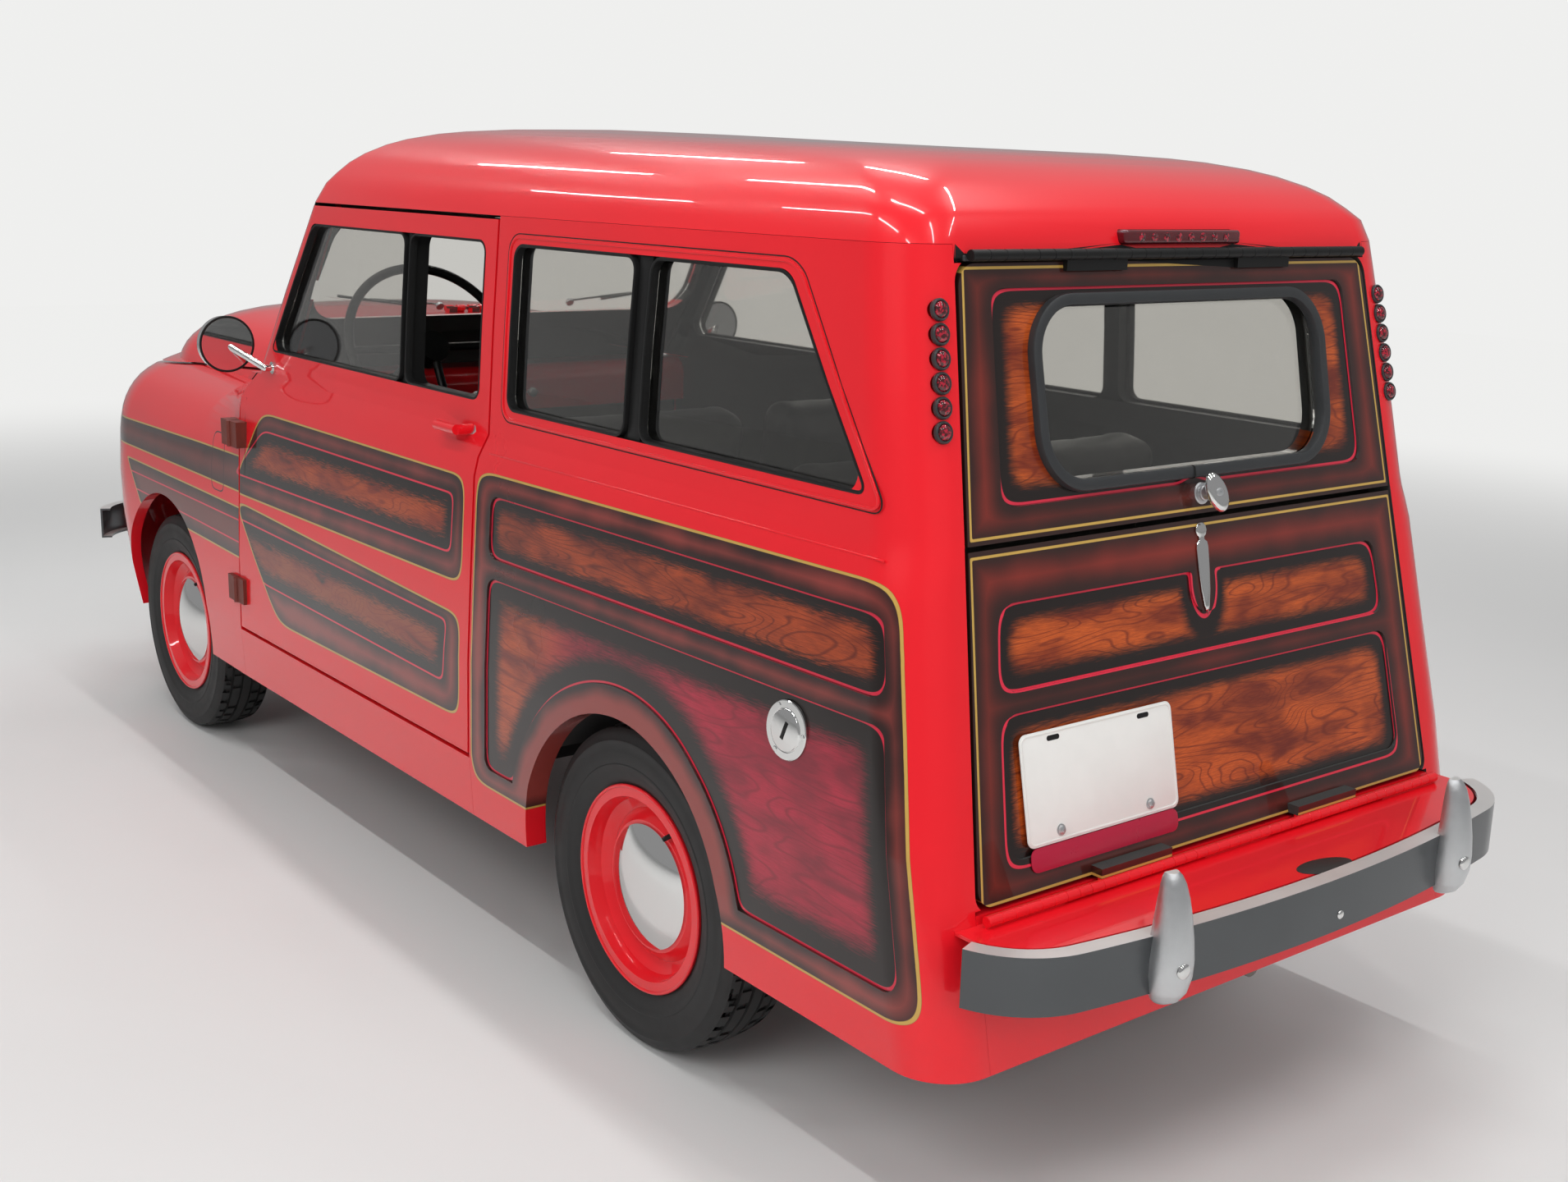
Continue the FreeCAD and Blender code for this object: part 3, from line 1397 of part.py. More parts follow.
def make_wheels():
    """Four tyres, wheels and hub caps, each turned about its own axle line."""
    tread = "sqrt(sizes.tread_arc ^ 2 - sizes.shoulder_half ^ 2)"
    shoulder = f"sizes.tyre_radius - sizes.tread_arc + {tread}"
    tyre = [
        ("-sizes.bead_half", "sizes.bead_radius"),
        ("sizes.bead_half", "sizes.bead_radius"),
        ("sizes.bead_half", "sizes.bead_radius + sizes.bead_height"),
        ("sizes.shoulder_half", shoulder),
        ("-sizes.shoulder_half", shoulder),
        ("-sizes.bead_half", "sizes.bead_radius + sizes.bead_height"),
    ]
    rim = "sizes.bead_radius - sizes.fit_gap"
    well = "sizes.bead_radius - sizes.rim_wall"
    wheel = [
        ("-sizes.flange_half", well), ("-sizes.flange_half", "sizes.flange_radius"),
        ("-sizes.bead_half - sizes.fit_gap", "sizes.flange_radius"),
        ("-sizes.bead_half - sizes.fit_gap", rim), ("sizes.bead_half + sizes.fit_gap", rim),
        ("sizes.bead_half + sizes.fit_gap", "sizes.flange_radius"),
        ("sizes.flange_half", "sizes.flange_radius"), ("sizes.flange_half", well),
        ("sizes.disc_face", "sizes.disc_edge_radius"), ("sizes.disc_dip", "sizes.disc_dip_radius"),
        ("sizes.disc_face", "sizes.cap_seat_radius"), ("sizes.disc_face", "0"),
        ("-sizes.drum_depth", "0"), ("-sizes.drum_depth", "sizes.drum_radius"),
        ("sizes.disc_back", "sizes.drum_radius"), ("sizes.disc_back", well),
    ]
    seat = "sizes.disc_face + sizes.fit_gap"
    cap = [
        (seat + " + sizes.cap_rise", "0"), (seat + " + sizes.cap_rim", "sizes.cap_radius"),
        (seat, "sizes.cap_radius"), (seat, "0"),
    ]
    corners = {
        "front_left": (wheel_side, front_axle_place),
        "front_right": (-wheel_side, front_axle_place),
        "rear_left": (wheel_side, d.rear_axle_place),
        "rear_right": (-wheel_side, d.rear_axle_place),
    }
    reach = f"({shoulder} - sizes.bead_radius - sizes.bead_height) / 2"
    bulge = "(sizes.tyre_width - sizes.bead_half - sizes.shoulder_half) / 2"
    sidewall = f"(({reach}) ^ 2 + ({bulge}) ^ 2) / (2 * ({bulge}))"
    for name, (side, place) in corners.items():
        centre = Vector(side, place, axle_height)
        inward = side < 0
        turned(f"tyre_{name}", tyre, {2: sidewall, 3: "sizes.tread_arc", 4: sidewall}, centre, inward)
        turned(f"wheel_{name}", wheel, None, centre, inward)
        turned(f"hub_cap_{name}", cap, {0: "sizes.cap_arc"}, centre, inward)


def leaf_spring(name, place, middle):
    """A bundle of leaves as one curved bar along the car, on the left."""
    half = d.spring_thick / 2
    near = d.spring_place - d.spring_width / 2

    def arc(offset):
        ends = d.spring_end_height + offset
        start = Vector(near, place - d.spring_half, ends)
        end = Vector(near, place + d.spring_half, ends)
        return Part.Arc(start, Vector(near, place, middle + offset), end).toShape()

    top = arc(half)
    low = arc(-half)
    ends = [Part.LineSegment(top.Vertexes[i].Point, low.Vertexes[i].Point).toShape() for i in (0, 1)]
    wire = Part.Wire(Part.__sortEdges__([top, low] + ends))
    return tool_of(name, Part.Face(wire).extrude(Vector(d.spring_width, 0, 0)))


def spring_pad(name, place, low, height):
    """The block that clamps a spring to its axle, on the left."""
    near = "sizes.spring_place - sizes.spring_width / 2"
    return primitive(
        "Box", name, (near, place + " - sizes.spring_pad / 2", low),
        Length="sizes.spring_width", Width="sizes.spring_pad", Height=height,
    )


def make_axles():
    """The front beam with its knuckles, and the live rear axle with its shaft."""
    place = "sizes.rear_axle_place - sizes.wheelbase"
    edge = place + " - sizes.beam_depth / 2"
    beam = primitive(
        "Box", "front_beam", ("-sizes.kingpin_place", edge, "sizes.beam_bottom"),
        Length="sizes.kingpin_place * 2", Width="sizes.beam_depth", Height="sizes.beam_height",
    )
    eye = primitive(
        "Cylinder", "kingpin_eye", ("sizes.kingpin_place", place, "sizes.beam_bottom"),
        Radius="sizes.beam_depth / 2", Height="sizes.beam_height",
    )
    top = d.beam_bottom + d.beam_height
    spring = leaf_spring("front_spring", front_axle_place, top + d.spring_thick / 2)
    pad = spring_pad("front_pad", place, "sizes.beam_bottom", "sizes.beam_height + sizes.spring_thick")
    left = [eye, spring, pad]
    joined("front_axle", [beam] + left + [twin_of(one) for one in left])

    foot = "sizes.beam_bottom + sizes.beam_height + sizes.fit_gap"
    pin = primitive(
        "Cylinder", "kingpin", ("sizes.kingpin_place", place, foot),
        Radius="sizes.kingpin_radius", Height="sizes.kingpin_height",
    )
    back = "sizes.track / 2 - sizes.drum_depth - sizes.fit_gap"
    level = "sizes.tyre_radius"
    reach = back + " - sizes.kingpin_place"
    stub = sideways("stub_axle", ("sizes.kingpin_place", place, level), "sizes.spindle_radius", reach)
    face = back + " - sizes.backplate"
    plate = sideways("front_backplate", (face, place, level), "sizes.drum_radius", "sizes.backplate")
    reflected("knuckle_right", joined("knuckle_left", [pin, stub, plate]))

    place = "sizes.rear_axle_place"
    tube = sideways("axle_tube", (f"-({back})", place, level), "sizes.axle_tube_radius", f"({back}) * 2")
    plate = sideways("rear_backplate", (face, place, level), "sizes.drum_radius", "sizes.backplate")
    case = sideways("axle_case", ("-sizes.diff_width / 2", place, level), "sizes.diff_radius", "sizes.diff_width")
    engine_end = "sizes.engine_front + sizes.engine_length + sizes.fit_gap"
    shaft = primitive(
        "Cylinder", "propeller_shaft", ("0", engine_end, "sizes.prop_height"), ALONG_Y,
        Radius="sizes.prop_radius", Height=f"{place} - ({engine_end})",
    )
    under = axle_height - d.axle_tube_radius
    spring = leaf_spring("rear_spring", d.rear_axle_place, under - d.spring_thick / 2)
    low = "sizes.tyre_radius - sizes.axle_tube_radius - sizes.spring_thick"
    pad = spring_pad("rear_pad", place, low, "sizes.axle_tube_radius + sizes.spring_thick")
    left = [plate, spring, pad]
    joined("rear_axle", [tube, case, shaft] + left + [twin_of(one) for one in left])


def make_frame():
    """The ladder frame with its cross members, spring hangers and bumper brackets."""
    top = d.floor_height - d.fit_gap
    low = top - d.rail_height
    kick = d.load_height - d.floor_thick - d.floor_height
    kick_start = d.load_step + d.floor_thick + d.fit_gap
    near = d.spring_place - d.rail_width / 2
    far = d.spring_place + d.rail_width / 2
    stages = [
        (rail_front, 0), (kick_start, 0), (kick_start + d.kick_run, kick),
        (d.kick_end, kick), (d.kick_end + d.kick_run, 0), (rail_rear, 0),
    ]
    points = [(place, low + rise) for place, rise in stages]
    points += [(place, top + rise) for place, rise in reversed(stages)]
    rail = side_prism(flat(*points), 0, near, far)
    parts = [rail, mirrored(rail)]
    for place in (cross_front, d.cross_dash, d.cross_mid, cross_tail):
        parts.append(block(-near, near, place, place + d.cross_width, low, low + d.cross_height))
    for axle, rise in ((front_axle_place, 0), (d.rear_axle_place, kick)):
        for end in (-d.spring_half, d.spring_half):
            start = axle + end - d.hanger_width / 2
            floor = d.spring_end_height + d.spring_thick / 2 + d.fit_gap
            roof = low + d.fit_gap + (rise if end > 0 else 0)
            hanger = block(near, far, start, start + d.hanger_width, floor, max(roof, floor + d.hanger_width))
            parts += [hanger, mirrored(hanger)]
    room = bumper_room(d.bumper_thick + d.fit_gap)
    for end in (rail_rear, -rail_front):
        bracket = bracket_shape(0, end).common(room)
        up = block(near, far, end - d.bracket_width, end, low, d.bracket_bottom + d.bracket_height)
        carrier = bracket.fuse(up)
        carrier = carrier if end == rail_rear else front_of(carrier)
        parts += [carrier, mirrored(carrier)]
    shaped("chassis_frame", parts[0].fuse(parts[1:]))


def make_floor():
    """The floor, stepped up over the rear axle, with the rear wheel housings."""
    thick = d.floor_thick
    low = d.floor_height
    start = firewall_rear + d.fit_gap
    points = flat(
        (start, d.toe_height), (start + d.toe_run, low + thick), (d.load_step, low + thick),
        (d.load_step, d.load_height), (load_rear, d.load_height), (load_rear, d.load_height - thick),
        (d.load_step + thick, d.load_height - thick), (d.load_step + thick, low),
        (start + d.toe_run - thick, low), (start, d.toe_height - thick * 2),
    )
    sheet_metal = side_prism(points, 0, -FAR, FAR)
    inner = main_body(d.wall + d.fit_gap)
    place = d.rear_axle_place
    centre = Vector(d.housing_inner, place, d.rear_arch_height)
    hump = rod(d.housing_radius, centre, centre + Vector(FAR, 0, 0))
    hump = hump.common(block(-FAR, FAR, -FAR, FAR, d.load_height - thick, FAR))
    side = centre + Vector(d.housing_wall, 0, 0)
    well = rod(d.housing_radius - d.housing_wall, side, side + Vector(FAR, 0, 0))
    floor = sheet_metal.fuse([hump, mirrored(hump)]).common(inner).cut([well, mirrored(well)])
    top = d.load_height + d.deck_rise
    floor = floor.fuse(block(-d.deck_half, d.deck_half, d.deck_front, deck_rear, d.load_height, top))
    shaped("floor_pan", floor)


def make_engine():
    """The engine as one plain block on its mounts, and the exhaust under the floor."""
    rear = d.engine_front + d.engine_length
    motor = primitive(
        "Box", "engine_block",
        ("-sizes.engine_half_width", "sizes.engine_front", "sizes.engine_bottom"),
        Length="sizes.engine_half_width * 2", Width="sizes.engine_length", Height="sizes.engine_height",
    )
    near = "(sizes.spring_place - sizes.rail_width / 2 - sizes.fit_gap)"
    edge = "sizes.engine_front + (sizes.engine_length - sizes.mount_width) / 2"
    arm = primitive(
        "Box", "engine_mount", ("-" + near, edge, "sizes.mount_bottom"),
        Length=near + " * 2", Width="sizes.mount_width", Height="sizes.mount_height",
    )
    joined("engine", [motor, arm])

    line = Vector(d.pipe_place, 0, d.pipe_height)
    start = Vector(line.x, d.pipe_front, line.z)
    pipe = rod(d.pipe_radius, start, Vector(line.x, pipe_rear, line.z))
    mouth = Vector(line.x, rear - d.pipe_radius * 2, d.engine_bottom - d.fit_gap)
    bend = Vector(line.x, mouth.y, line.z)
    rise = rod(d.pipe_radius, bend, mouth)
    lead = rod(d.pipe_radius, bend, start)
    first = Vector(line.x, d.silencer_front, line.z)
    can = rod(d.silencer_radius, first, first + Vector(0, d.silencer_length, 0))
    can = can.makeFillet(d.silencer_corner, [edge for edge in can.Edges if edge.Closed and len(edge.Vertexes) == 1])
    straps = []
    low = d.floor_height - d.rail_height - d.fit_gap * 2
    for place in (d.cross_mid, cross_tail):
        half = d.hanger_width / 2
        centre = place + d.cross_width / 2
        straps.append(block(line.x - half, line.x + half, centre - half, centre + half, line.z, low))
    elbow = Part.makeSphere(d.pipe_radius, bend)
    shaped("exhaust", pipe.fuse([rise, lead, can, elbow] + straps))


# Cabin

def tilted(point, along):
    """A place along the steering column's line, measured from the wheel's hub."""
    tilt = math.radians(d.column_tilt_angle)
    return point + Vector(0, -math.cos(tilt), -math.sin(tilt)) * along


def make_steering():
    """The steering wheel and its column."""
    hub = Vector(d.wheel_hub_side, d.wheel_hub_place, d.wheel_hub_height)
    rim = primitive("Torus", "steering_rim", (), Radius1="sizes.steering_rim", Radius2="sizes.steering_rim_thick")
    boss = primitive(
        "Cylinder", "steering_boss", ("0", "0", "-sizes.steering_hub"),
        Radius="sizes.steering_hub", Height="sizes.steering_hub + sizes.steering_rim_thick",
    )
    spoke_sizes = {"Radius": "sizes.spoke_width / 2", "Height": "sizes.steering_rim"}
    spokes = []
    for step, turn in enumerate((ALONG_X, ALONG_X.inverted(), ALONG_Y)):
        spokes.append(primitive("Cylinder", f"steering_spoke_{step}", (), turn, **spoke_sizes))
    wheel = joined("steering_wheel", [rim, boss] + spokes)
    axis = tilted(Vector(), -d.steering_hub)
    wheel.Placement = FreeCAD.Placement(hub, Rotation(Vector(0, 0, 1), axis))
    start = tilted(hub, d.steering_hub + d.fit_gap)
    end = tilted(hub, FAR)
    tube = rod(d.column_radius, start, end)
    tube = tube.common(block(-FAR, FAR, firewall_rear + d.fit_gap, 0, 0, FAR))
    shaped("steering_column", tube)
    front = firewall_rear + d.fit_gap
    points = flat(
        (front, d.dash_bottom), (front + d.dash_depth, d.dash_bottom),
        (front + d.dash_depth, d.dash_top), (front, d.dash_top),
    )
    dash = side_prism(points, [0, 0, d.dash_radius, 0], -dash_half, dash_half)
    shaped("dashboard", dash.cut(rod(d.column_radius + d.seam, start, end)))


def seat_solid(low, top, front, length, near, far):
    """A seat's cushion and leaning back as one soft solid."""
    rear = front + length
    lean = d.back_lean_share
    back_rear = rear + (d.back_top - low) * lean
    points = flat(
        (front, low), (rear, low), (back_rear, d.back_top), (back_rear - d.back_thick, d.back_top),
        (rear - d.back_thick + (top - low) * lean, top), (front, top),
    )
    round_off = d.seat_round
    return side_prism(points, [0, 0, round_off, round_off, 0, round_off], near, far)


def make_seats():
    """Two front seats and a rear bench between the wheel housings."""
    low = d.floor_height + d.floor_thick + d.fit_gap
    near = d.seat_gap / 2
    seat = seat_solid(low, d.cushion_top, d.front_seat_front, d.front_seat_length, near, near + d.seat_half * 2)
    shaped("front_seats", both(seat))
    low = d.load_height + d.fit_gap
    half = d.rear_seat_half
    bench = seat_solid(low, d.rear_cushion_top, d.rear_seat_front, d.rear_seat_length, -half, half)
    shaped("rear_seat", bench)


door = make_doors()
make_sides()
make_roof()
make_cowl()
make_front()
make_tail()
make_bumpers()
make_lamps()
make_grille()
make_mirrors(door)
make_wheels()
make_axles()
make_frame()
make_floor()
make_engine()
make_steering()
make_seats()

doc.recompute()
for obj in doc.Objects:
    if "Invalid" in obj.State or "Error" in obj.State:
        raise RuntimeError(f"{obj.Name} failed: {obj.State}")
for node in nodes:
    if node.Shape.isNull() or not node.Shape.isValid():
        raise RuntimeError(f"{node.Label} has no valid shape")

os.makedirs("parts", exist_ok=True)
for node in nodes:
    node.Shape.exportStep(f"parts/{node.Label}.step")
    box = node.Shape.BoundBox
    print(f"{node.Label}: {len(node.Shape.Solids)} solid(s), {box.XLength:.0f} x {box.YLength:.0f} x {box.ZLength:.0f} mm")
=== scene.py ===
# %% [markdown]
# # A small station wagon of the late 1940s
# The car arrives as a finished CAD model: every panel, wheel and pane is already in its place, in metres.
# Nothing here moves those parts. This lesson gives them paint, wood, glass and rubber, and adds the pieces
# that are too fine for CAD, such as seals, bolts, tread and cushions.

# %% Load the car
import math
import bmesh
import bpy
from mathutils import Matrix, Vector
from mathutils.bvhtree import BVHTree


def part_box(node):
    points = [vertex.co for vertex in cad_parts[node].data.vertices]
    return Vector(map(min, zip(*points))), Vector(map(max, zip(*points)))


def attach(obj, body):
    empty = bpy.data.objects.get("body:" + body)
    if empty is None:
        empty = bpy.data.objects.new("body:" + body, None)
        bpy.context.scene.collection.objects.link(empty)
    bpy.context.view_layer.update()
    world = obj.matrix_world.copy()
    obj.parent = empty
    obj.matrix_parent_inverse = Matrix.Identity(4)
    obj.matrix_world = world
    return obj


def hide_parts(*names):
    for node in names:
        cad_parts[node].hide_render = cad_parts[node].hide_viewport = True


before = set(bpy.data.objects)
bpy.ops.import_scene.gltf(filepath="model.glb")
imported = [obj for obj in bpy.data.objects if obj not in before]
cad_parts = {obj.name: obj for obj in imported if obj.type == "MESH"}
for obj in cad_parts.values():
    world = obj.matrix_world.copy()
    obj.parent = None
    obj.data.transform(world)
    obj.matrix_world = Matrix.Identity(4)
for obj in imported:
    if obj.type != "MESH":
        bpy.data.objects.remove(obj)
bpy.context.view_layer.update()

scene = bpy.context.scene
print("CAD nodes:", len(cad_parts))

# %% [markdown]
# ## The camera
# A photographer stood behind the car's left corner, a little above its roof line. The view was worked out from
# the wheels, door and tail of the photograph. A camera could be aimed by hand until it looks right, but three
# angles and a lens put it there exactly, and the lens keeps the same perspective.

# %% Camera
CAMERA_PLACE = Vector((2.0192, 3.1504, 1.3854))
FOCAL_PIXELS, PHOTO_WIDTH, SENSOR_MM = 2155.76, 1910, 36
turn, tilt, lean = math.radians(38.192), math.radians(13.363), math.radians(1.504)
ahead = Vector((-math.sin(turn) * math.cos(tilt), -math.cos(turn) * math.cos(tilt), -math.sin(tilt)))
level = Vector((-math.cos(turn), math.sin(turn), 0))
rise = level.cross(ahead)
across = level * math.cos(lean) + rise * math.sin(lean)
upward = rise * math.cos(lean) - level * math.sin(lean)

lens = bpy.data.cameras.new("camera")
lens.lens = FOCAL_PIXELS / PHOTO_WIDTH * SENSOR_MM
camera = bpy.data.objects.new("camera", lens)
camera.matrix_world = Matrix.Translation(CAMERA_PLACE) @ Matrix((across, upward, -ahead)).transposed().to_4x4()
scene.collection.objects.link(camera)
scene.camera = camera
scene.view_settings.view_transform = "Standard"
print("lens", round(lens.lens, 2), "mm")

# %% [markdown]
# ## Wiring materials
# A material is a small network of nodes. Networks can be drawn by hand, but in a script a few helpers keep
# them short: one makes a node, one joins or sets a socket, and the rest are the sums that come up often.

# %% Node helpers
class Wiring:
    """Makes and joins shader nodes in one tree."""

    def __init__(self, tree):
        self.tree = tree

    def node(self, kind, **settings):
        made = self.tree.nodes.new("ShaderNode" + kind)
        for name, value in settings.items():
            setattr(made, name, value)
        return made

    def feed(self, socket, value):
        if isinstance(value, bpy.types.NodeSocket):
            self.tree.links.new(value, socket)
        elif value is not None:
            socket.default_value = value

    def math(self, operation, *values):
        made = self.node("Math", operation=operation)
        for socket, value in zip(made.inputs, values):
            self.feed(socket, value)
        return made.outputs[0]

    def vector(self, operation, *values):
        made = self.node("VectorMath", operation=operation)
        for socket, value in zip(made.inputs, values):
            self.feed(socket, value)
        return made.outputs["Value"] if operation in ("DOT_PRODUCT", "LENGTH", "DISTANCE") else made.outputs[0]

    def blend(self, factor, first, second):
        made = self.node("Mix", data_type="RGBA")
        for number, value in ((0, factor), (6, first), (7, second)):
            self.feed(made.inputs[number], value)
        return made.outputs[2]

    def fade(self, value, start, end, low=0.0, high=1.0):
        made = self.node("MapRange", interpolation_type="SMOOTHSTEP")
        for socket, item in zip(made.inputs, (value, start, end, low, high)):
            self.feed(socket, item)
        return made.outputs[0]

    def noise(self, vector, scale, detail=2.0, rough=0.5, warp=0.0):
        made = self.node("TexNoise")
        labels = ("Vector", "Scale", "Detail", "Roughness", "Distortion")
        for label, value in zip(labels, (vector, scale, detail, rough, warp)):
            self.feed(made.inputs[label], value)
        return made.outputs[0]

    def stretch(self, vector, scale, shift=(0, 0, 0)):
        made = self.node("Mapping")
        for label, value in (("Vector", vector), ("Scale", scale), ("Location", shift)):
            self.feed(made.inputs[label], value)
        return made.outputs[0]

    def group(self, effect, **values):
        made = self.node("Group", node_tree=effect.tree)
        for name, value in values.items():
            self.feed(made.inputs[name.replace("_", " ")], value)
        return made.outputs


KINDS = {1: "NodeSocketFloat", 3: "NodeSocketVector", 4: "NodeSocketColor"}
ORIGIN = (0, 0, 0)


def new_group(name, outputs, **inputs):
    """An empty shader group; a socket's kind follows from how many numbers it holds: one, three or four."""
    tree = bpy.data.node_groups.new(name, "ShaderNodeTree")
    for label, value in inputs.items():
        kind = KINDS[len(value) if isinstance(value, tuple) else 1]
        socket = tree.interface.new_socket(name=label.replace("_", " "), in_out="INPUT", socket_type=kind)
        socket.default_value = value
    for label, count in outputs.items():
        tree.interface.new_socket(name=label, in_out="OUTPUT", socket_type=KINDS[count])
    wiring = Wiring(tree)
    given = tree.nodes.new("NodeGroupInput").outputs
    return wiring, given, tree.nodes.new("NodeGroupOutput").inputs


def new_finish(name, color, roughness, **sockets):
    """A material with one main shader whose plain values are set on its own sockets."""
    material = bpy.data.materials.new(name)
    material.use_nodes = True
    wiring = Wiring(material.node_tree)
    shader = material.node_tree.nodes["Principled BSDF"]
    shader.inputs["Base Color"].default_value = (*color, 1)
    shader.inputs["Roughness"].default_value = roughness
    for label, value in sockets.items():
        shader.inputs[label.replace("_", " ")].default_value = value
    place = wiring.node("TexCoord").outputs["Object"]
    return material, wiring, shader.inputs, place


def bump(wiring, sockets, height, depth, strength):
    """Let a height pattern lean the surface's normal."""
    made = wiring.node("Bump")
    made.inputs["Strength"].default_value = strength
    made.inputs["Distance"].default_value = depth
    wiring.feed(made.inputs["Height"], height)
    wiring.feed(sockets["Normal"], made.outputs[0])

# %% [markdown]
# ## Effects that several finishes share
# Each effect is a group, built once, with its own named inputs. `worn` gives a surface slow changes of tone and
# gloss, because no real finish is one flat colour. `distance` measures how far a point is from a painted
# outline of four edges, negative inside, and every band, panel and pinstripe on this car is drawn from it.

# %% Groups: worn surface, outline distance, thin line
SOFT_EDGE = 0.0004

worn, given, out = new_group(
    "worn", {"Color": 4, "Roughness": 1, "Height": 1},
    Place=ORIGIN, Color=(0.5, 0.5, 0.5, 1), Scale=6.0, Tone=0.12, Gloss=0.3, Spread=0.1)
cloud = worn.noise(given["Place"], given["Scale"], 5)
change = worn.math("SUBTRACT", cloud, 0.5)
tint = worn.vector("SCALE", given["Color"])
worn.feed(tint.node.inputs["Scale"], worn.math("MULTIPLY_ADD", change, given["Tone"], 1))
worn.feed(out["Color"], tint)
worn.feed(out["Roughness"], worn.math("MULTIPLY_ADD", change, given["Spread"], given["Gloss"]))
worn.feed(out["Height"], worn.noise(given["Place"], 900, 1))

distance, given, out = new_group(
    "distance", {"Distance": 1},
    Place=(0, 0, 1), Edge_A=ORIGIN, Edge_B=ORIGIN, Edge_C=ORIGIN, Edge_D=ORIGIN, Corner=0.05)
sides = [distance.vector("DOT_PRODUCT", given["Place"], given["Edge " + letter]) for letter in "ABCD"]
first = distance.math("SMOOTH_MAX", sides[0], sides[1], given["Corner"])
second = distance.math("SMOOTH_MAX", sides[2], sides[3], given["Corner"])
distance.feed(out["Distance"], distance.math("SMOOTH_MAX", first, second, given["Corner"]))


def outline(corners):
    """Turns four corners, taken anticlockwise in millimetres, into the group's four edges in metres."""
    edges = {}
    for letter, start, end in zip("ABCD", corners, corners[1:] + corners[:1]):
        along = (Vector(end) - Vector(start)).normalized()
        outward = Vector((along.y, -along.x))
        edges["Edge_" + letter] = (outward.x, outward.y, -outward.dot(Vector(start)) / 1000)
    return edges


line, given, out = new_group("pinstripe", {"Mask": 1}, Distance=0.0, Offset=0.0, Width=0.004)
gap = line.math("ABSOLUTE", line.math("SUBTRACT", given["Distance"], given["Offset"]))
half = line.math("MULTIPLY", given["Width"], 0.5)
line.feed(out["Mask"], line.fade(line.math("SUBTRACT", gap, half), -SOFT_EDGE, SOFT_EDGE, 1, 0))
print("shared groups:", [tree.name for tree in bpy.data.node_groups])

# %% [markdown]
# ## Painted wood
# The wood on this car is paint: a sign painter's idea of burl and knots, faded to black at its edges with an
# airbrush. A photograph of wood could be wrapped on, but it would stretch and repeat. Here the grain is a slow
# noise field pulled out along the plank. Where the field passes round values a thin dark contour is drawn, which
# closes into knots by itself, and a finer noise adds the streaks of the brush.

# %% Group: painted wood
wood, given, out = new_group(
    "painted_wood", {"Color": 4},
    Place=ORIGIN, Distance=-0.1, Light=(0.62, 0.13, 0.03, 1), Deep=(0.2, 0.02, 0.008, 1),
    Char=(0.012, 0.007, 0.006, 1), Fade=0.03, Rings=13.0, Fill=0.5, Ragged=0.055)
slow = wood.stretch(given["Place"], (1.5, 8, 1))
field = wood.noise(slow, 2.3, 0.8, 0.4, 0.45)
steps = wood.math("FRACT", wood.math("MULTIPLY", field, given["Rings"]))
ring = wood.fade(wood.math("PINGPONG", steps, 0.5), 0.0, 0.17, 0, 1)
brush = wood.noise(wood.stretch(given["Place"], (12, 170, 1)), 3, 3, 0.6, 0.5)
patch = wood.noise(wood.stretch(given["Place"], (2.5, 8, 1), (4, 2, 0)), 2.6, 2.5, 0.55, 0.5)
streak = wood.fade(wood.noise(wood.stretch(given["Place"], (12, 420, 1), (2, 7, 0)), 3, 2, 0.5, 1.4), 0.40, 0.56)
tone = wood.math("ADD", wood.fade(patch, 0.28, 0.66), wood.math("MULTIPLY", wood.math("SUBTRACT", brush, 0.5), 0.8))
lines = wood.math("MULTIPLY", wood.math("MULTIPLY_ADD", ring, 0.72, 0.28),
                  wood.math("MULTIPLY_ADD", streak, 0.42, 0.58))
body_tone = wood.math("MULTIPLY", tone, lines)
grain = wood.blend(wood.math("MINIMUM", wood.math("MAXIMUM", body_tone, 0), 1), given["Deep"], given["Light"])
ragged = wood.math("MULTIPLY", wood.math("SUBTRACT", brush, 0.5), given["Ragged"])
depth = wood.math("SUBTRACT", ragged, given["Distance"])
inner = wood.math("MULTIPLY", given["Fade"], 2.4)
edge = wood.fade(depth, given["Fade"], inner)
hole = wood.fade(wood.math("ADD", patch, wood.math("SUBTRACT", given["Fill"], 0.5)), 0.28, 0.42)
wood.feed(out["Color"], wood.blend(wood.math("MULTIPLY", edge, hole), given["Char"], grain))

# %% [markdown]
# The frame around each wood panel is red-brown, darkened along both edges with the same airbrush. The group
# takes the distance to the frame's outside and to the panels inside it, and darkens where either is small.

# %% Group: airbrushed frame
burst, given, out = new_group(
    "burst_frame", {"Color": 4},
    Place=ORIGIN, Outside=-0.1, Inside=0.1, Middle=(0.27, 0.042, 0.034, 1), Dark=(0.026, 0.012, 0.011, 1), Reach=0.03)
near = burst.math("MINIMUM", burst.math("MULTIPLY", given["Outside"], -1), given["Inside"])
spray = burst.math("MULTIPLY", burst.math("SUBTRACT", burst.noise(given["Place"], 9, 2), 0.5), 0.03)
burst.feed(out["Color"], burst.blend(burst.fade(burst.math("ADD", near, spray), 0.0, given["Reach"]),
                                     given["Dark"], given["Middle"]))

# %% [markdown]
# ## Red paint
# The body is a bright red under clear lacquer. Principled has a coat layer for that: it keeps its own sharp
# reflections while the colour underneath stays deep. A faint waviness in the height is what painters call
# orange peel, and it breaks up the reflections of the lamps.

# %% Red paint and the other colours
RED = (0.82, 0.009, 0.018, 1)
GOLD = (0.56, 0.35, 0.08, 1)
# The pink of the thin lines is painted highlight: the light that the rounded edge of a pressed bead catches.
PINK_HIGHLIGHT = (0.72, 0.026, 0.062, 1)
HIGHLIGHT_WIDTH, GOLD_WIDTH = 0.0035, 0.0036
PAINT_GLOSS = 0.3


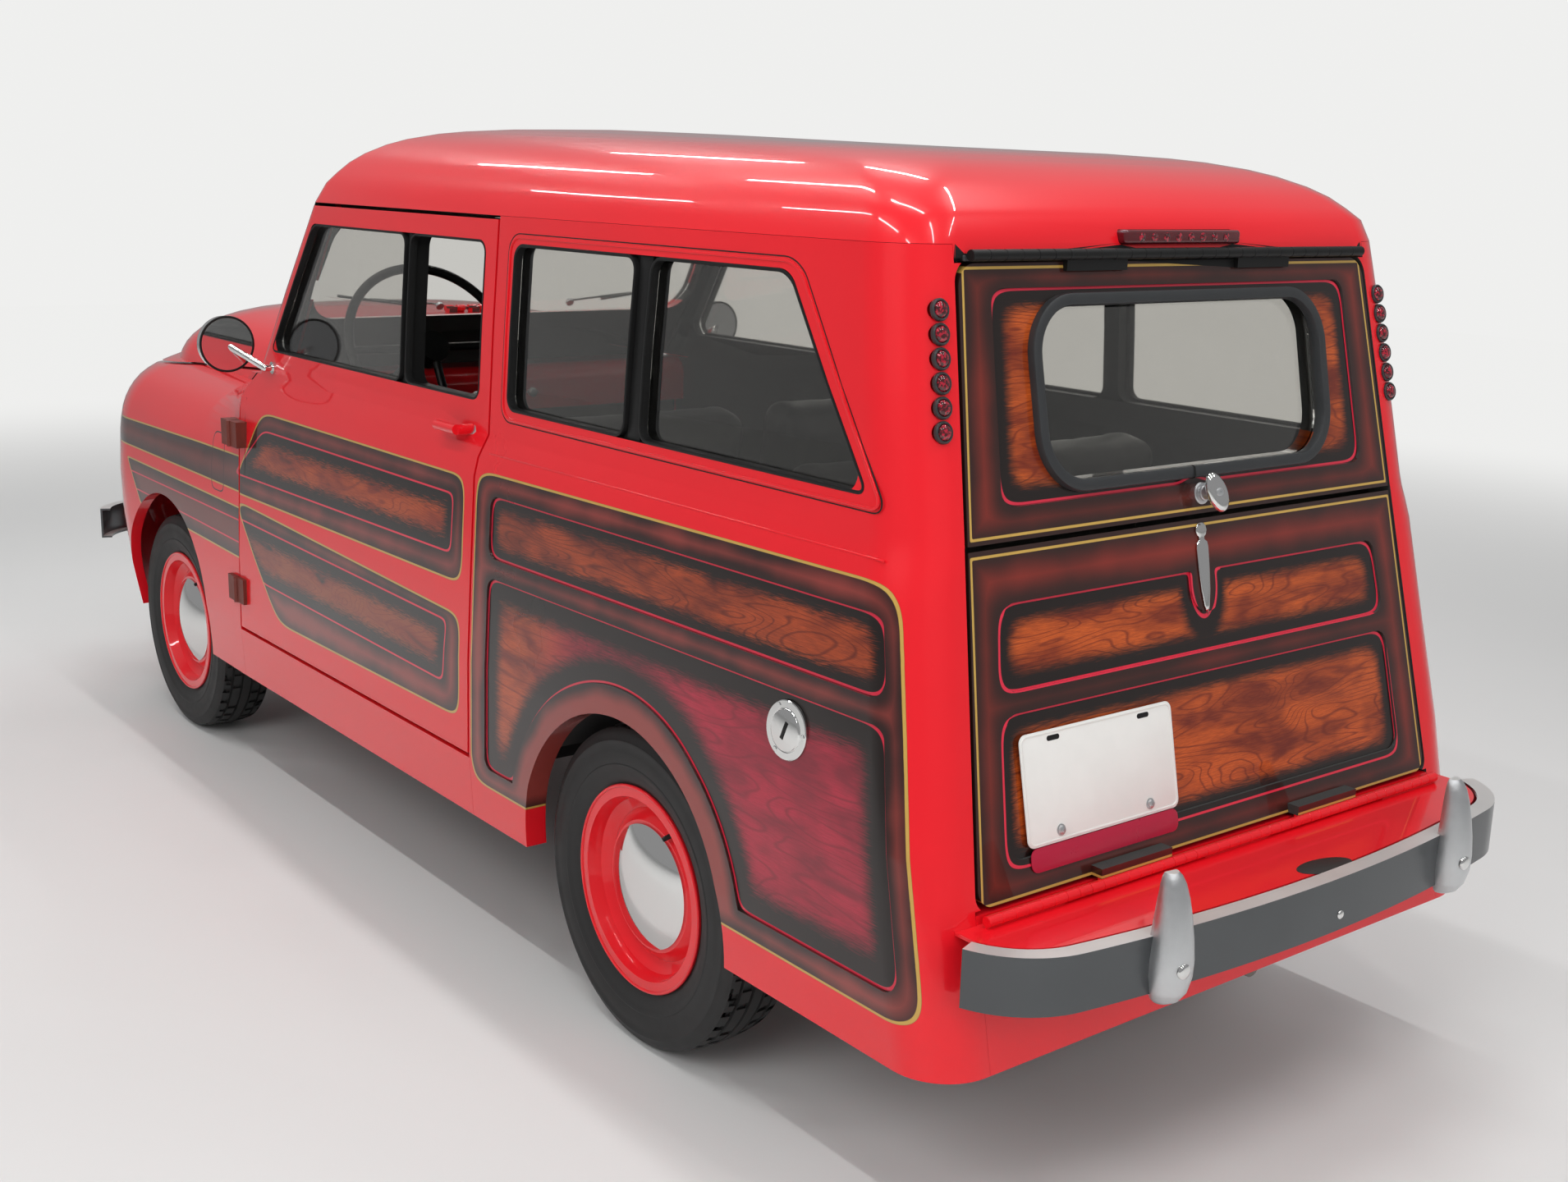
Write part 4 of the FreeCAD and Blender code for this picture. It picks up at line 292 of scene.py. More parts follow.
def weathered(wiring, sockets, place, color, gloss, scale, tone, spread):
    """Joins a colour and a gloss to the shader through slow changes; returns the fine height."""
    made = wiring.group(worn, Place=place, Color=color, Scale=scale, Tone=tone, Gloss=gloss, Spread=spread)
    wiring.feed(sockets["Base Color"], made["Color"])
    wiring.feed(sockets["Roughness"], made["Roughness"])
    return made["Height"]


def lacquer(name, painter=None, *shapes, plain=RED, axis=1):
    """A glossy lacquered paint; a painter function may draw its colours on the flat map."""
    material, wiring, sockets, place = new_finish(
        name, plain[:3], PAINT_GLOSS, Coat_Weight=1.0, Coat_Roughness=0.02, Coat_IOR=1.36,
        Specular_IOR_Level=0.25)
    color = painter(wiring, place, flat_map(wiring, place, axis), *shapes) if painter else plain
    weathered(wiring, sockets, place, color, PAINT_GLOSS, 2.5, 0.14, 0.12)
    bump(wiring, sockets, wiring.noise(place, 160, 1), 0.00015, 0.25)
    return material


red_paint = lacquer("red_paint")

# %% [markdown]
# ## Painting the panels
# Every outline was measured from the photograph in two directions: along the car and up for the flanks, across
# and up for the tail. The same two directions, taken from Object coordinates, tell each shader where it is.
# Layers go on in the painter's order: wood, frame, then the thin lines, a gold pinstripe and a pink line that is
# painted highlight along each pressed bead. Each stroke is a small function.

# %% The flat map and the strokes
def flat_map(wiring, place, axis):
    """One direction and the height, with a third value of one for the distance group."""
    parts, joined = wiring.node("SeparateXYZ"), wiring.node("CombineXYZ")
    wiring.feed(parts.inputs[0], place)
    for socket, value in zip(joined.inputs, (parts.outputs[axis], parts.outputs[2], 1)):
        wiring.feed(socket, value)
    return joined.outputs[0]


def gap_to(wiring, flat, corners, corner):
    """How far each point is from an outline with rounded corners, negative inside."""
    return wiring.group(distance, Place=flat, Corner=corner, **outline(corners))[0]


def inside(wiring, gap, under, over):
    """Paint one colour over another where a distance is negative, with an edge a pixel soft."""
    return wiring.blend(wiring.fade(gap, -SOFT_EDGE, SOFT_EDGE, 1, 0), under, over)


def framed(wiring, place, outer, inner, **looks):
    """The airbrushed frame between two distances."""
    return wiring.group(burst, Place=place, Outside=outer, Inside=inner, **looks)[0]


def plank(wiring, flat, gap, under, **looks):
    """Wood inside an outline."""
    return inside(wiring, gap, under, wiring.group(wood, Place=flat, Distance=gap, **looks)[0])


# By default the line is pink, a painted highlight along a bead.
def stripe(wiring, gap, under, color=PINK_HIGHLIGHT, offset=0.0, width=HIGHLIGHT_WIDTH):
    """A thin line along an outline."""
    return wiring.blend(wiring.group(line, Distance=gap, Offset=offset, Width=width)[0], under, color)


def gilded(wiring, gap, under, offset=-0.002):
    """The gold line just inside an outline."""
    return stripe(wiring, gap, under, GOLD, offset, GOLD_WIDTH)


def rect(left, low, right, high):
    """Four corners, anticlockwise from the lower left."""
    return [(left, low), (right, low), (right, high), (left, high)]

# %% Doors: two bands with a red stripe between them
DOOR_TOP = [(-640, 664), (437, 667), (437, 859), (-472, 860)]
DOOR_LOW = [(-380, 418), (436, 424), (436, 612), (-620, 650)]
DOOR_TOP_PANEL = [(-618, 708), (392, 716), (396, 821), (-462, 821)]
DOOR_LOW_PANEL = [(-470, 492), (372, 478), (384, 592), (-640, 612)]
DOOR_BANDS = ((DOOR_TOP, DOOR_TOP_PANEL, (0.46, 0.075, 0.014, 1)), (DOOR_LOW, DOOR_LOW_PANEL, (0.30, 0.06, 0.015, 1)))


def banded_door(wiring, place, flat):
    """The door's colours."""
    color = RED
    for edge, panel, light in DOOR_BANDS:
        outer = gap_to(wiring, flat, edge, 0.06)
        inner = gap_to(wiring, flat, panel, 0.03)
        layer = framed(wiring, place, outer, inner, Reach=0.036)
        layer = plank(wiring, flat, inner, layer, Light=light, Fade=0.018, Rings=23.0, Fill=0.52)
        # Gold pinstripe on the band's outline, pink painted highlight on the panel's bead.
        layer = gilded(wiring, outer, stripe(wiring, inner, layer))
        color = inside(wiring, outer, color, layer)
    return color


door_paint = lacquer("door_paint", banded_door)
print("door bands painted")

# %% Front wings: the bands run on as stripes
WING_TOP = [(-1900, 676), (-560, 668), (-560, 751), (-1900, 733)]
WING_LOW = [(-1247, 537), (-560, 520), (-560, 636), (-1345, 645)]
WING_SLOT = rect(-761, 653, -686, 783)
# The wing's pink lines are painted highlight along its pressed lines.
WING_HIGHLIGHTS = ([(-1900, 616), (-560, 606)], [(-1900, 584), (-560, 556)])
WING_MIDDLE = (0.16, 0.03, 0.025, 1)
SLOT_LINE = (0.05, 0.004, 0.006, 1)


def striped_wing(wiring, place, flat):
    """The wing's colours."""
    color = RED
    tip = gap_to(wiring, flat, DOOR_TOP_PANEL, 0.03)
    runs = [wiring.vector("DOT_PRODUCT", flat, outline(ends)["Edge_A"]) for ends in WING_HIGHLIGHTS]
    for edge, gaps in ((WING_TOP, [tip]), (WING_LOW, runs)):
        outer = gap_to(wiring, flat, edge, 0.012)
        layer = framed(wiring, place, outer, 1.0, Reach=0.045, Middle=WING_MIDDLE)
        for gap in gaps:
            # Pink painted highlight along each line.
            layer = stripe(wiring, gap, layer)
        color = inside(wiring, outer, color, gilded(wiring, outer, layer))
    return stripe(wiring, gap_to(wiring, flat, WING_SLOT, 0.035), color, SLOT_LINE, width=0.0028)


wing_paint = lacquer("wing_paint", striped_wing)

# %% Quarters: an upper plank and a lower panel that follows the wheel arch
QUARTER = [(478, 322), (1645, 318), (1526, 880), (478, 876)]
QUARTER_TOP = [(528, 732), (1535, 732), (1513, 839), (528, 839)]
QUARTER_LOW = [(528, 357), (1608, 357), (1538, 698), (528, 698)]
ARCH_CENTRE = (0.946, 0.270, 1)
ARCH_BEAD = 0.334


def planked_quarter(wiring, place, flat):
    """The quarter's colours, orange at its front end and crimson behind the wheel."""
    outer = gap_to(wiring, flat, QUARTER, 0.07)
    top = gap_to(wiring, flat, QUARTER_TOP, 0.045)
    low = gap_to(wiring, flat, QUARTER_LOW, 0.045)
    bead = wiring.math("SUBTRACT", ARCH_BEAD, wiring.vector("DISTANCE", flat, ARCH_CENTRE))
    low = wiring.math("SMOOTH_MAX", low, bead, 0.03)
    both = wiring.math("MINIMUM", top, low)
    layer = framed(wiring, place, outer, both, Reach=0.028)
    layer = plank(wiring, flat, top, layer, Light=(0.42, 0.065, 0.014, 1), Deep=(0.10, 0.012, 0.006, 1),
                  Fade=0.013, Rings=23.0, Fill=0.55, Ragged=0.035)
    along = wiring.node("SeparateXYZ")
    wiring.feed(along.inputs[0], flat)
    rear = wiring.fade(along.outputs[0], 0.64, 0.86)
    light = wiring.blend(rear, (0.50, 0.085, 0.020, 1), (0.44, 0.012, 0.040, 1))
    deep = wiring.blend(rear, (0.16, 0.016, 0.008, 1), (0.20, 0.006, 0.020, 1))
    layer = plank(wiring, flat, low, layer, Light=light, Deep=deep, Fade=0.026, Rings=9.0, Fill=0.85, Ragged=0.035)
    # Pink painted highlight along the beads of both panels.
    layer = stripe(wiring, both, layer, offset=-0.002)
    return inside(wiring, outer, RED, gilded(wiring, outer, layer))


quarter_paint = lacquer("quarter_paint", planked_quarter)

# %% Tail doors
HATCH = [(-455, 928), (455, 928), (426, 1270), (-426, 1270)]
HATCH_PANEL = [(-394, 964), (394, 964), (379, 1243), (-379, 1243)]
GATE = [(-494, 466), (494, 466), (458, 906), (-458, 906)]
GATE_TOP = [(-422, 726), (431, 726), (418, 842), (-408, 842)]
GATE_LOW = [(-439, 500), (447, 500), (432, 700), (-423, 700)]
HATCH_NOTCH = ((0.007, 0.930, 1), 1.0, 0.040)
GATE_NOTCH = ((0.005, 0.824, 1), 0.55, 0.025)
TAIL_DARK = (0.030, 0.011, 0.009, 1)
TAIL_MIDDLE = (0.27, 0.028, 0.018, 1)


def tail_panels(wiring, place, flat, edge, panels, notch):
    """One tail door's colours: wood panels, the first with a round notch given by place, squash and radius."""
    outer = gap_to(wiring, flat, edge, 0.004)
    inners = [gap_to(wiring, flat, panel, 0.05) for panel in panels]
    centre, squash, radius = notch
    span = wiring.vector("MULTIPLY", wiring.vector("SUBTRACT", flat, centre), (1, squash, 1))
    cut = wiring.math("SUBTRACT", radius, wiring.vector("LENGTH", span))
    inners[0] = wiring.math("SMOOTH_MAX", inners[0], cut, 0.015)
    both = inners[0] if len(inners) == 1 else wiring.math("MINIMUM", *inners)
    layer = framed(wiring, place, outer, both, Reach=0.05, Middle=TAIL_MIDDLE, Dark=TAIL_DARK)
    for inner in inners:
        layer = plank(wiring, flat, inner, layer, Light=(0.58, 0.105, 0.016, 1), Deep=(0.15, 0.017, 0.006, 1),
                      Fade=0.016, Rings=19.0, Fill=0.62, Ragged=0.018)
    # Pink painted highlight along the panels' beads, gold pinstripe on the outline.
    return gilded(wiring, outer, stripe(wiring, both, layer, offset=-0.002), -0.0005)


hatch_paint = lacquer("hatch_paint", tail_panels, HATCH, [HATCH_PANEL], HATCH_NOTCH, plain=TAIL_DARK, axis=0)
gate_paint = lacquer("gate_paint", tail_panels, GATE, [GATE_TOP, GATE_LOW], GATE_NOTCH, plain=TAIL_DARK, axis=0)
print("painted panels:", [m.name for m in bpy.data.materials if m.name.endswith("_paint")])

# %% [markdown]
# ## The other finishes
# Rubber, chrome, glass and trim each take their slow changes from the same `worn` group, with their own values.
# Tinted glass is a real slab here, so it uses transmission and a colour that darkens what is behind it.

# %% Plain finishes
def simple(name, color, gloss, scale=8.0, tone=0.2, spread=0.15, depth=0.0002, **fixed):
    """A material whose colour and gloss only drift a little; a depth of nought leaves it without bumps."""
    material, wiring, sockets, place = new_finish(name, color, gloss, **fixed)
    height = weathered(wiring, sockets, place, (*color, 1), gloss, scale, tone, spread)
    if depth:
        bump(wiring, sockets, height, depth, 0.4)
    return material


chrome = simple("chrome", (0.78, 0.78, 0.77), 0.06, tone=0.04, spread=0.05, depth=0.00002, Metallic=1.0)
bumper_metal = simple("bumper_metal", (0.72, 0.72, 0.70), 0.34, 14, 0.15, 0.2, Metallic=0.45)
cast_metal = simple("cast_metal", (0.62, 0.63, 0.64), 0.36, 60, 0.12, 0.25, 0.0006, Metallic=0.9)
rubber = simple("rubber", (0.018, 0.018, 0.018), 0.62, 30, 0.4, 0.2)
seal_rubber = simple("seal_rubber", (0.030, 0.032, 0.034), 0.45, 25, 0.3, 0.2)
black_trim = simple("black_trim", (0.012, 0.012, 0.012), 0.4, 20, 0.3, 0.2, Specular_IOR_Level=0.22)
frame_black = simple("frame_black", (0.022, 0.021, 0.020), 0.55, 12, 0.5, 0.3, 0.0005)
engine_iron = simple("engine_iron", (0.10, 0.11, 0.11), 0.6, 25, 0.5, 0.25, 0.0008, Metallic=0.3)
pipe_steel = simple("pipe_steel", (0.22, 0.20, 0.18), 0.5, 20, 0.6, 0.3, 0.0005, Metallic=0.8)
lining = simple("lining", (0.045, 0.045, 0.043), 0.75, 40, 0.3, 0.15, 0.0008)
floor_mat = simple("floor_mat", (0.028, 0.027, 0.026), 0.8, 60, 0.4, 0.2, 0.001)
seat_vinyl = simple("seat_vinyl", (0.035, 0.033, 0.032), 0.5, 30, 0.3, 0.2, 0.0008)
hinge_paint = simple("hinge_paint", (0.16, 0.03, 0.02), 0.5, 60, 0.5, 0.3, 0.0004)
plate_white = simple("plate_white", (0.80, 0.79, 0.76), 0.35, 30, 0.08, 0.2, 0.0001)

lens_red, wiring, sockets, place = new_finish("lens_red", (0.2, 0.003, 0.01), 0.08, Coat_Weight=0.8)
facets = wiring.fade(wiring.noise(place, 260, 1), 0.46, 0.62)
wiring.feed(sockets["Base Color"], wiring.blend(facets, (0.055, 0.001, 0.004, 1), (0.42, 0.006, 0.028, 1)))

tinted_glass = simple("tinted_glass", (0.70, 0.69, 0.66), 0.02, 3, 0.08, 0.03, 0, Transmission_Weight=1.0, IOR=1.45)

lamp_glass, wiring, sockets, place = new_finish(
    "lamp_glass", (0.93, 0.95, 0.95), 0.05, Transmission_Weight=1.0, IOR=1.5)
parts = wiring.node("SeparateXYZ")
wiring.feed(parts.inputs[0], place)
flutes = wiring.math("SINE", wiring.math("MULTIPLY", parts.outputs[0], 600))
bump(wiring, sockets, flutes, 0.001, 0.6)
print("finishes:", len(bpy.data.materials))

# %% [markdown]
# ## Skins
# CAD panels come as loose triangles, so light would show every flat of a curved roof. The node itself must stay
# as it is, so each painted panel gets a copy: its triangles are joined at their shared corners, shaded smooth,
# and kept sharp only where two faces meet at a real edge. Faces that look into the cabin get the lining.

# %% Helpers for pieces
SMOOTH_DEGREES, WELD = 33, 0.00003
CABIN_MIDDLE = Vector((0, 0.5, 0.8))
LINING_FOOT = 0.37


def soften(bm, degrees):
    """Smooth shading everywhere but on edges sharper than the angle."""
    limit = math.radians(degrees)
    for face in bm.faces:
        face.smooth = True
    for edge in bm.edges:
        edge.smooth = len(edge.link_faces) == 2 and edge.calc_face_angle(0) < limit


def placed(name, bm):
    """Turn a bmesh into an object of the scene."""
    mesh = bpy.data.meshes.new(name)
    bm.to_mesh(mesh)
    bm.free()
    made = bpy.data.objects.new(name, mesh)
    scene.collection.objects.link(made)
    return made


def piece(name, bm, body, material, degrees=SMOOTH_DEGREES):
    """Turn a bmesh into a named piece that rides on a body."""
    soften(bm, degrees)
    made = placed(name, bm)
    made.data.materials.append(material)
    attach(made, body)
    return made


def skin(node, body, material, lined=True):
    """A smooth, joined copy of a CAD panel, lined where it faces the cabin."""
    bm = bmesh.new()
    bm.from_mesh(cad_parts[node].data)
    bmesh.ops.remove_doubles(bm, verts=bm.verts, dist=WELD)
    made = piece(node + "_skin", bm, body, material)
    made.data.materials.append(lining)
    if lined:
        for polygon in made.data.polygons:
            outward = polygon.center - CABIN_MIDDLE
            outward.y *= 0.35
            facing = polygon.normal.dot(outward.normalized())
            polygon.material_index = 1 if facing < -0.25 and polygon.center.z > LINING_FOOT else 0
    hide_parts(node)
    return made


def paint(material, *nodes):
    """Give CAD nodes that keep their own shape a better material."""
    for node in nodes:
        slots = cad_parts[node].data.materials
        slots.clear()
        slots.append(material)

# %% Painted panels
for node in ("roof", "cowl", "sill_left", "sill_right"):
    skin(node, "body", red_paint)
skin("rear_valance", "body", red_paint, lined=False)
skin("nose_panel", "body", wing_paint, lined=False)
skin("hood", "hood", red_paint, lined=False)
for side in ("left", "right"):
    skin(f"wing_{side}", "body", wing_paint, lined=False)
    skin(f"quarter_{side}", "body", quarter_paint)
    skin(f"door_{side}", f"door_{side}", door_paint)
skin("hatch", "hatch", hatch_paint)
skin("tailgate", "tailgate", gate_paint)

# %% Finishes for the parts that keep their CAD shape
corners = ("front_left", "front_right", "rear_left", "rear_right")
paint(tinted_glass, "windscreen", "quarter_glass", "door_glass_left", "door_glass_right", "hatch_glass")
paint(lamp_glass, "headlamp_lenses")
paint(chrome, "headlamps", "grille", "mirror_left", "mirror_right", "fuel_cap", *["hub_cap_" + c for c in corners])
paint(bumper_metal, "bumper_front", "bumper_rear")
paint(lens_red, "tail_lamps", "brake_lamp")
paint(red_paint, "dashboard", *["wheel_" + c for c in corners])
paint(rubber, *["tyre_" + c for c in corners])
paint(black_trim, "steering_wheel", "steering_column")
paint(frame_black, "chassis_frame", "front_axle", "rear_axle", "knuckle_left", "knuckle_right")
paint(engine_iron, "engine")
paint(pipe_steel, "exhaust")
paint(floor_mat, "floor_pan")
paint(seat_vinyl, "front_seats", "rear_seat")

# %% [markdown]
# ## Where the body's surface is
# Seals, mouldings and handles sit on the body, so each needs the surface's place at its own height. The flank
# leans in as it rises and draws in towards the tail, and the tail leans forward as it rises. Two small functions
# give those surfaces, and three more take a point of a flat drawing out onto the left, the right or the tail.

# %% Surface of flank and tail
FLANK_LEVELS = (
    (0.252, 0.6040, 0.6015), (0.371, 0.6110, 0.6070), (0.538, 0.6086, 0.6037), (0.687, 0.6010, 0.5878),
    (0.863, 0.5910, 0.5710), (0.895, 0.5829, 0.5627), (0.915, 0.5719, 0.5570), (0.932, 0.5621, 0.5548),
    (1.116, 0.5508, 0.5407), (1.300, 0.5365, 0.5181))
FLANK_FRONT = 0.5
TAIL_TOP, TAIL_EAVE, TAIL_LEAN = 1.475, 1.276, 0.2073
TAIL_OUT = Vector((0, 1, TAIL_LEAN)).normalized()


def tail_y(z):
    """Where the leaning tail lies at a height."""
    return TAIL_TOP + TAIL_LEAN * (TAIL_EAVE - z)


def flank_x(y, z):
    """How far out the side lies at a place along the car and a height."""
    for low, high in zip(FLANK_LEVELS, FLANK_LEVELS[1:]):
        if z <= high[0] or high is FLANK_LEVELS[-1]:
            share = (z - low[0]) / (high[0] - low[0])
            front, rear = (low[n] + (high[n] - low[n]) * share for n in (1, 2))
            back = min(max((y - FLANK_FRONT) / (tail_y(z) - FLANK_FRONT), 0), 1)
            return front + (rear - front) * back


def on_left(u, v, out):
    return Vector((flank_x(u, v) + out, u, v))


def on_right(u, v, out):
    return Vector((-flank_x(u, v) - out, u, v))


def on_tail(u, v, out):
    return Vector((u, tail_y(v) + out, v + out * TAIL_LEAN))


SIDES = (("left", 1, on_left), ("right", -1, on_right))
HANDLE_ALONG, HANDLE_HEIGHT = 408, 935
handle_x = flank_x(HANDLE_ALONG / 1000, HANDLE_HEIGHT / 1000) * 1000
print("flank at the door handle:", round(handle_x), "mm")

# %% [markdown]
# ## Window seals
# Each pane sits in a black rubber channel. A seal is a band: a flat outline with rounded corners, inset to a
# ring, then thickened. A curve with a round bevel would also do, but a real channel is flat and has a lip. A
# plate is made the same way without the inset, and both are drawn flat and then laid on the car.

# %% Bands and plates
LONG_EDGE, LIP_SHARE = 0.09, 0.3


def outlined(corners_mm, low, radius, segments):
    """A flat face from corners in millimetres, rounded when a radius in metres is given."""
    bm = bmesh.new()
    bm.faces.new([bm.verts.new((u / 1000, v / 1000, low)) for u, v in corners_mm])
    if radius:
        bmesh.ops.bevel(bm, geom=bm.verts[:], offset=radius, segments=segments, affect="VERTICES", profile=0.5,
                        offset_type="OFFSET", material=-1)
    return bm


def laid(bm, low, high, lip, surface):
    """Thicken a flat shape between two heights, soften its upper edge and lay it on the car."""
    raised = bmesh.ops.extrude_face_region(bm, geom=bm.faces[:])["geom"]
    top = [item for item in raised if isinstance(item, bmesh.types.BMVert)]
    bmesh.ops.translate(bm, verts=top, vec=(0, 0, high - low))
    bmesh.ops.recalc_face_normals(bm, faces=bm.faces)
    middle = (low + high) / 2
    rim = [e for e in bm.edges if e.calc_face_angle(0) > 1 and all(v.co.z > middle for v in e.verts)]
    bmesh.ops.bevel(bm, geom=rim, offset=lip * LIP_SHARE, segments=2, affect="EDGES", profile=0.5, material=-1)
    for vert in bm.verts:
        vert.co = surface(*vert.co)
    if surface is not on_left:
        bmesh.ops.reverse_faces(bm, faces=bm.faces)
    return bm


def band(corners_mm, radius, width, low, high, surface, segments=7):
    """A flat ring with rounded corners, thickened between two heights over the surface."""
    bm = outlined(corners_mm, low, radius, segments)
    ring = bmesh.ops.inset_individual(bm, faces=bm.faces[:], thickness=width, use_even_offset=True)["faces"]
    bmesh.ops.delete(bm, geom=[f for f in bm.faces if f not in ring], context="FACES")
    cuts = [e for e in bm.edges if e.calc_length() > LONG_EDGE]
    bmesh.ops.subdivide_edges(bm, edges=cuts, cuts=6, use_grid_fill=True)
    return laid(bm, low, high, min(width, high - low), surface)


def plate(corners_mm, radius, low, high, surface):
    """A stamped plate, laid on the car between two heights in metres over its surface."""
    return laid(outlined(corners_mm, low, radius, 6), low, high, high - low, surface)


# %% Seals
WINDOWS = (
    ("quarter_seal_front", "body", rect(525, 980, 884.5, 1257), 0.026, 0.0055, 0.0012),
    ("quarter_seal_rear", "body", [(921.5, 980), (1457, 980), (1250, 1257), (921.5, 1257)], 0.026, 0.0055, 0.0012),
    ("door_seal_front", "door", [(-485, 985), (127, 985), (127, 1258), (-291, 1258)], 0.024, 0.0045, 0.001),
    ("door_seal_rear", "door", rect(143, 985, 430, 1258), 0.024, 0.0045, 0.001))
SEAL_FOOT = -0.013
for side, sign, surface in SIDES:
    for name, body, shape, radius, width, high in WINDOWS:
        carrier = body if body == "body" else f"{body}_{side}"
        piece(f"{name}_{side}", band(shape, radius, width, SEAL_FOOT, high, surface), carrier, black_trim)
hatch_seal = piece("hatch_seal", band(rect(-318, 972, 318, 1235), 0.084, 0.0175, -0.006, 0.008, on_tail, 12),
                   "hatch", seal_rubber)
print("hatch seal faces:", len(hatch_seal.data.polygons))

# %% [markdown]
# ## Small fittings
# Lamps, caps, bolts and handles are turned on a lathe or stamped, so most start as half an outline that is spun
# about an axis. A spun mesh has a seam and two poles: its doubles are merged and its normals worked out again,
# and only then is it aimed at its place on the car.

# %% Turning, blocks and places
def turned(bm, steps):
    """Spin everything in a mesh once round Z and close its seam."""
    bmesh.ops.spin(bm, geom=bm.verts[:] + bm.edges[:], cent=(0, 0, 0), axis=(0, 0, 1), angle=math.tau,
                   steps=steps, use_merge=True)
    bmesh.ops.remove_doubles(bm, verts=bm.verts, dist=0.00002)
    bmesh.ops.recalc_face_normals(bm, faces=bm.faces)
    return bm


def spun(profile, steps=32):
    """A turned part: half its outline, as radius and height in millimetres, spun about Z."""
    bm = bmesh.new()
    points = [bm.verts.new((radius / 1000, 0, height / 1000)) for radius, height in profile]
    for start, end in zip(points, points[1:]):
        bm.edges.new((start, end))
    return turned(bm, steps)


def aimed(bm, centre, direction, roll=0.0):
    """Point a part's Z along a direction and bring it to a place in millimetres."""
    toward = Vector((0, 0, 1)).rotation_difference(Vector(direction)).to_matrix().to_4x4()
    place = Matrix.Translation(Vector(centre) / 1000) @ toward @ Matrix.Rotation(roll, 4, "Z")
    bmesh.ops.transform(bm, matrix=place, verts=bm.verts)
    return bm


def block(size, edge, segments=3):
    """A block with rounded edges, sizes in millimetres."""
    bm = bmesh.new()
    bmesh.ops.create_cube(bm, size=0.001)
    bmesh.ops.scale(bm, vec=size, verts=bm.verts)
    bmesh.ops.bevel(bm, geom=bm.edges[:], offset=edge / 1000, segments=segments, affect="EDGES", profile=0.5,
                    material=-1)
    return bm


def gathered(parts):
    """Several small parts as one mesh."""
    whole = bmesh.new()
    for part in parts:
        held = bpy.data.meshes.new("held")
        part.to_mesh(held)
        part.free()
        whole.from_mesh(held)
        bpy.data.meshes.remove(held)
    return whole


REARWARD, UP = (0, 1, 0), (0, 0, 1)


def turnings(name, profile, steps, places, direction, body, material, degrees=40):
    """One turned part at each of some places, as one piece."""
    parts = [aimed(spun(profile, steps), place, direction) for place in places]
    return piece(name, gathered(parts), body, material, degrees)


def tail_spot(across, height, out=0):
    """A place on the tail, or a little out from it, in millimetres."""
    return Vector((across, tail_y(height / 1000) * 1000, height)) + TAIL_OUT * out


def touched(node, start, toward):
    """Where a straight line meets a CAD node, in millimetres."""
    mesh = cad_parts[node].data
    tree = BVHTree.FromPolygons([v.co for v in mesh.vertices], [p.vertices for p in mesh.polygons])
    return tree.ray_cast(Vector(start) / 1000, Vector(toward))[0] * 1000


def retouch(name, material, chosen):
    """Give the faces of a skin that pass a test another finish."""
    mesh = bpy.data.objects[name + "_skin"].data
    mesh.materials.append(material)
    number = len(mesh.materials) - 1
    for polygon in mesh.polygons:
        if chosen(polygon):
            polygon.material_index = number

# %% Finishes of the fittings
lamp_housing = simple("lamp_housing", (0.085, 0.004, 0.008), 0.12, 60, 0.5, 0.1, Coat_Weight=0.7)
strip_red = simple("strip_red", (0.42, 0.012, 0.045), 0.3, 40, 0.1, 0.15)
mirror_silver = simple("mirror_silver", (0.86, 0.87, 0.88), 0.02, tone=0.02, spread=0.01, depth=0.00001, Metallic=1.0)

# The face's dark grey is painted reflection: the steel is given the dark colour of a floor mirrored in it.
PAINTED_REFLECTION_DARK = (0.11, 0.115, 0.12)
bumper_face, wiring, sockets, place = new_finish("bumper_face", PAINTED_REFLECTION_DARK, 0.24, Metallic=0.9)
weathered(wiring, sockets, place, (*PAINTED_REFLECTION_DARK, 1), 0.24, 9, 0.25, 0.16)
bump(wiring, sockets, wiring.noise(wiring.stretch(place, (900, 60, 12)), 1, 2), 0.0001, 0.35)
print("finishes:", len(bpy.data.materials))

# %% [markdown]
# ## Window frames
# Behind the seals the openings' edges and the posts between the panes are black. A thin red moulding with a dark
# edge runs round the quarter windows, and a raised line runs under them along the waist. The openings' edges are
# faces of the panels themselves, so they are found by how deep they lie under the outer skin and given black,
# and the posts get a thin black cover each.

# %% Channels, posts and mouldings
CHANNEL_FOOT, CHANNEL_TOP = 0.976, 1.262
HINGE_HEIGHTS, HINGE_ALONG = (0.452, 0.8), -0.592
MOULDING = [(511, 964), (1491, 964), (1266, 1270), (511, 1270)]
MOULDING_EDGE = [(507, 960), (1497, 960), (1269, 1274), (507, 1274)]


def in_channel(front, rear, rear_lean=0.0):
    """A test for faces that lie deep in a window opening."""
    def chosen(polygon):
        centre = polygon.center
        slant = rear - (centre.z - 0.98) * rear_lean
        if not (front < centre.y < slant and CHANNEL_FOOT < centre.z < CHANNEL_TOP):
            return False
        return flank_x(centre.y, centre.z) - abs(centre.x) > 0.002
    return chosen


def is_hinge(polygon):
    """Whether a face belongs to a door hinge that stands out from the flank."""
    centre = polygon.center
    level = min(abs(centre.z - height) for height in HINGE_HEIGHTS) < 0.031
    return level and abs(centre.y - HINGE_ALONG) < 0.045 and abs(centre.x) > flank_x(centre.y, centre.z) + 0.0015


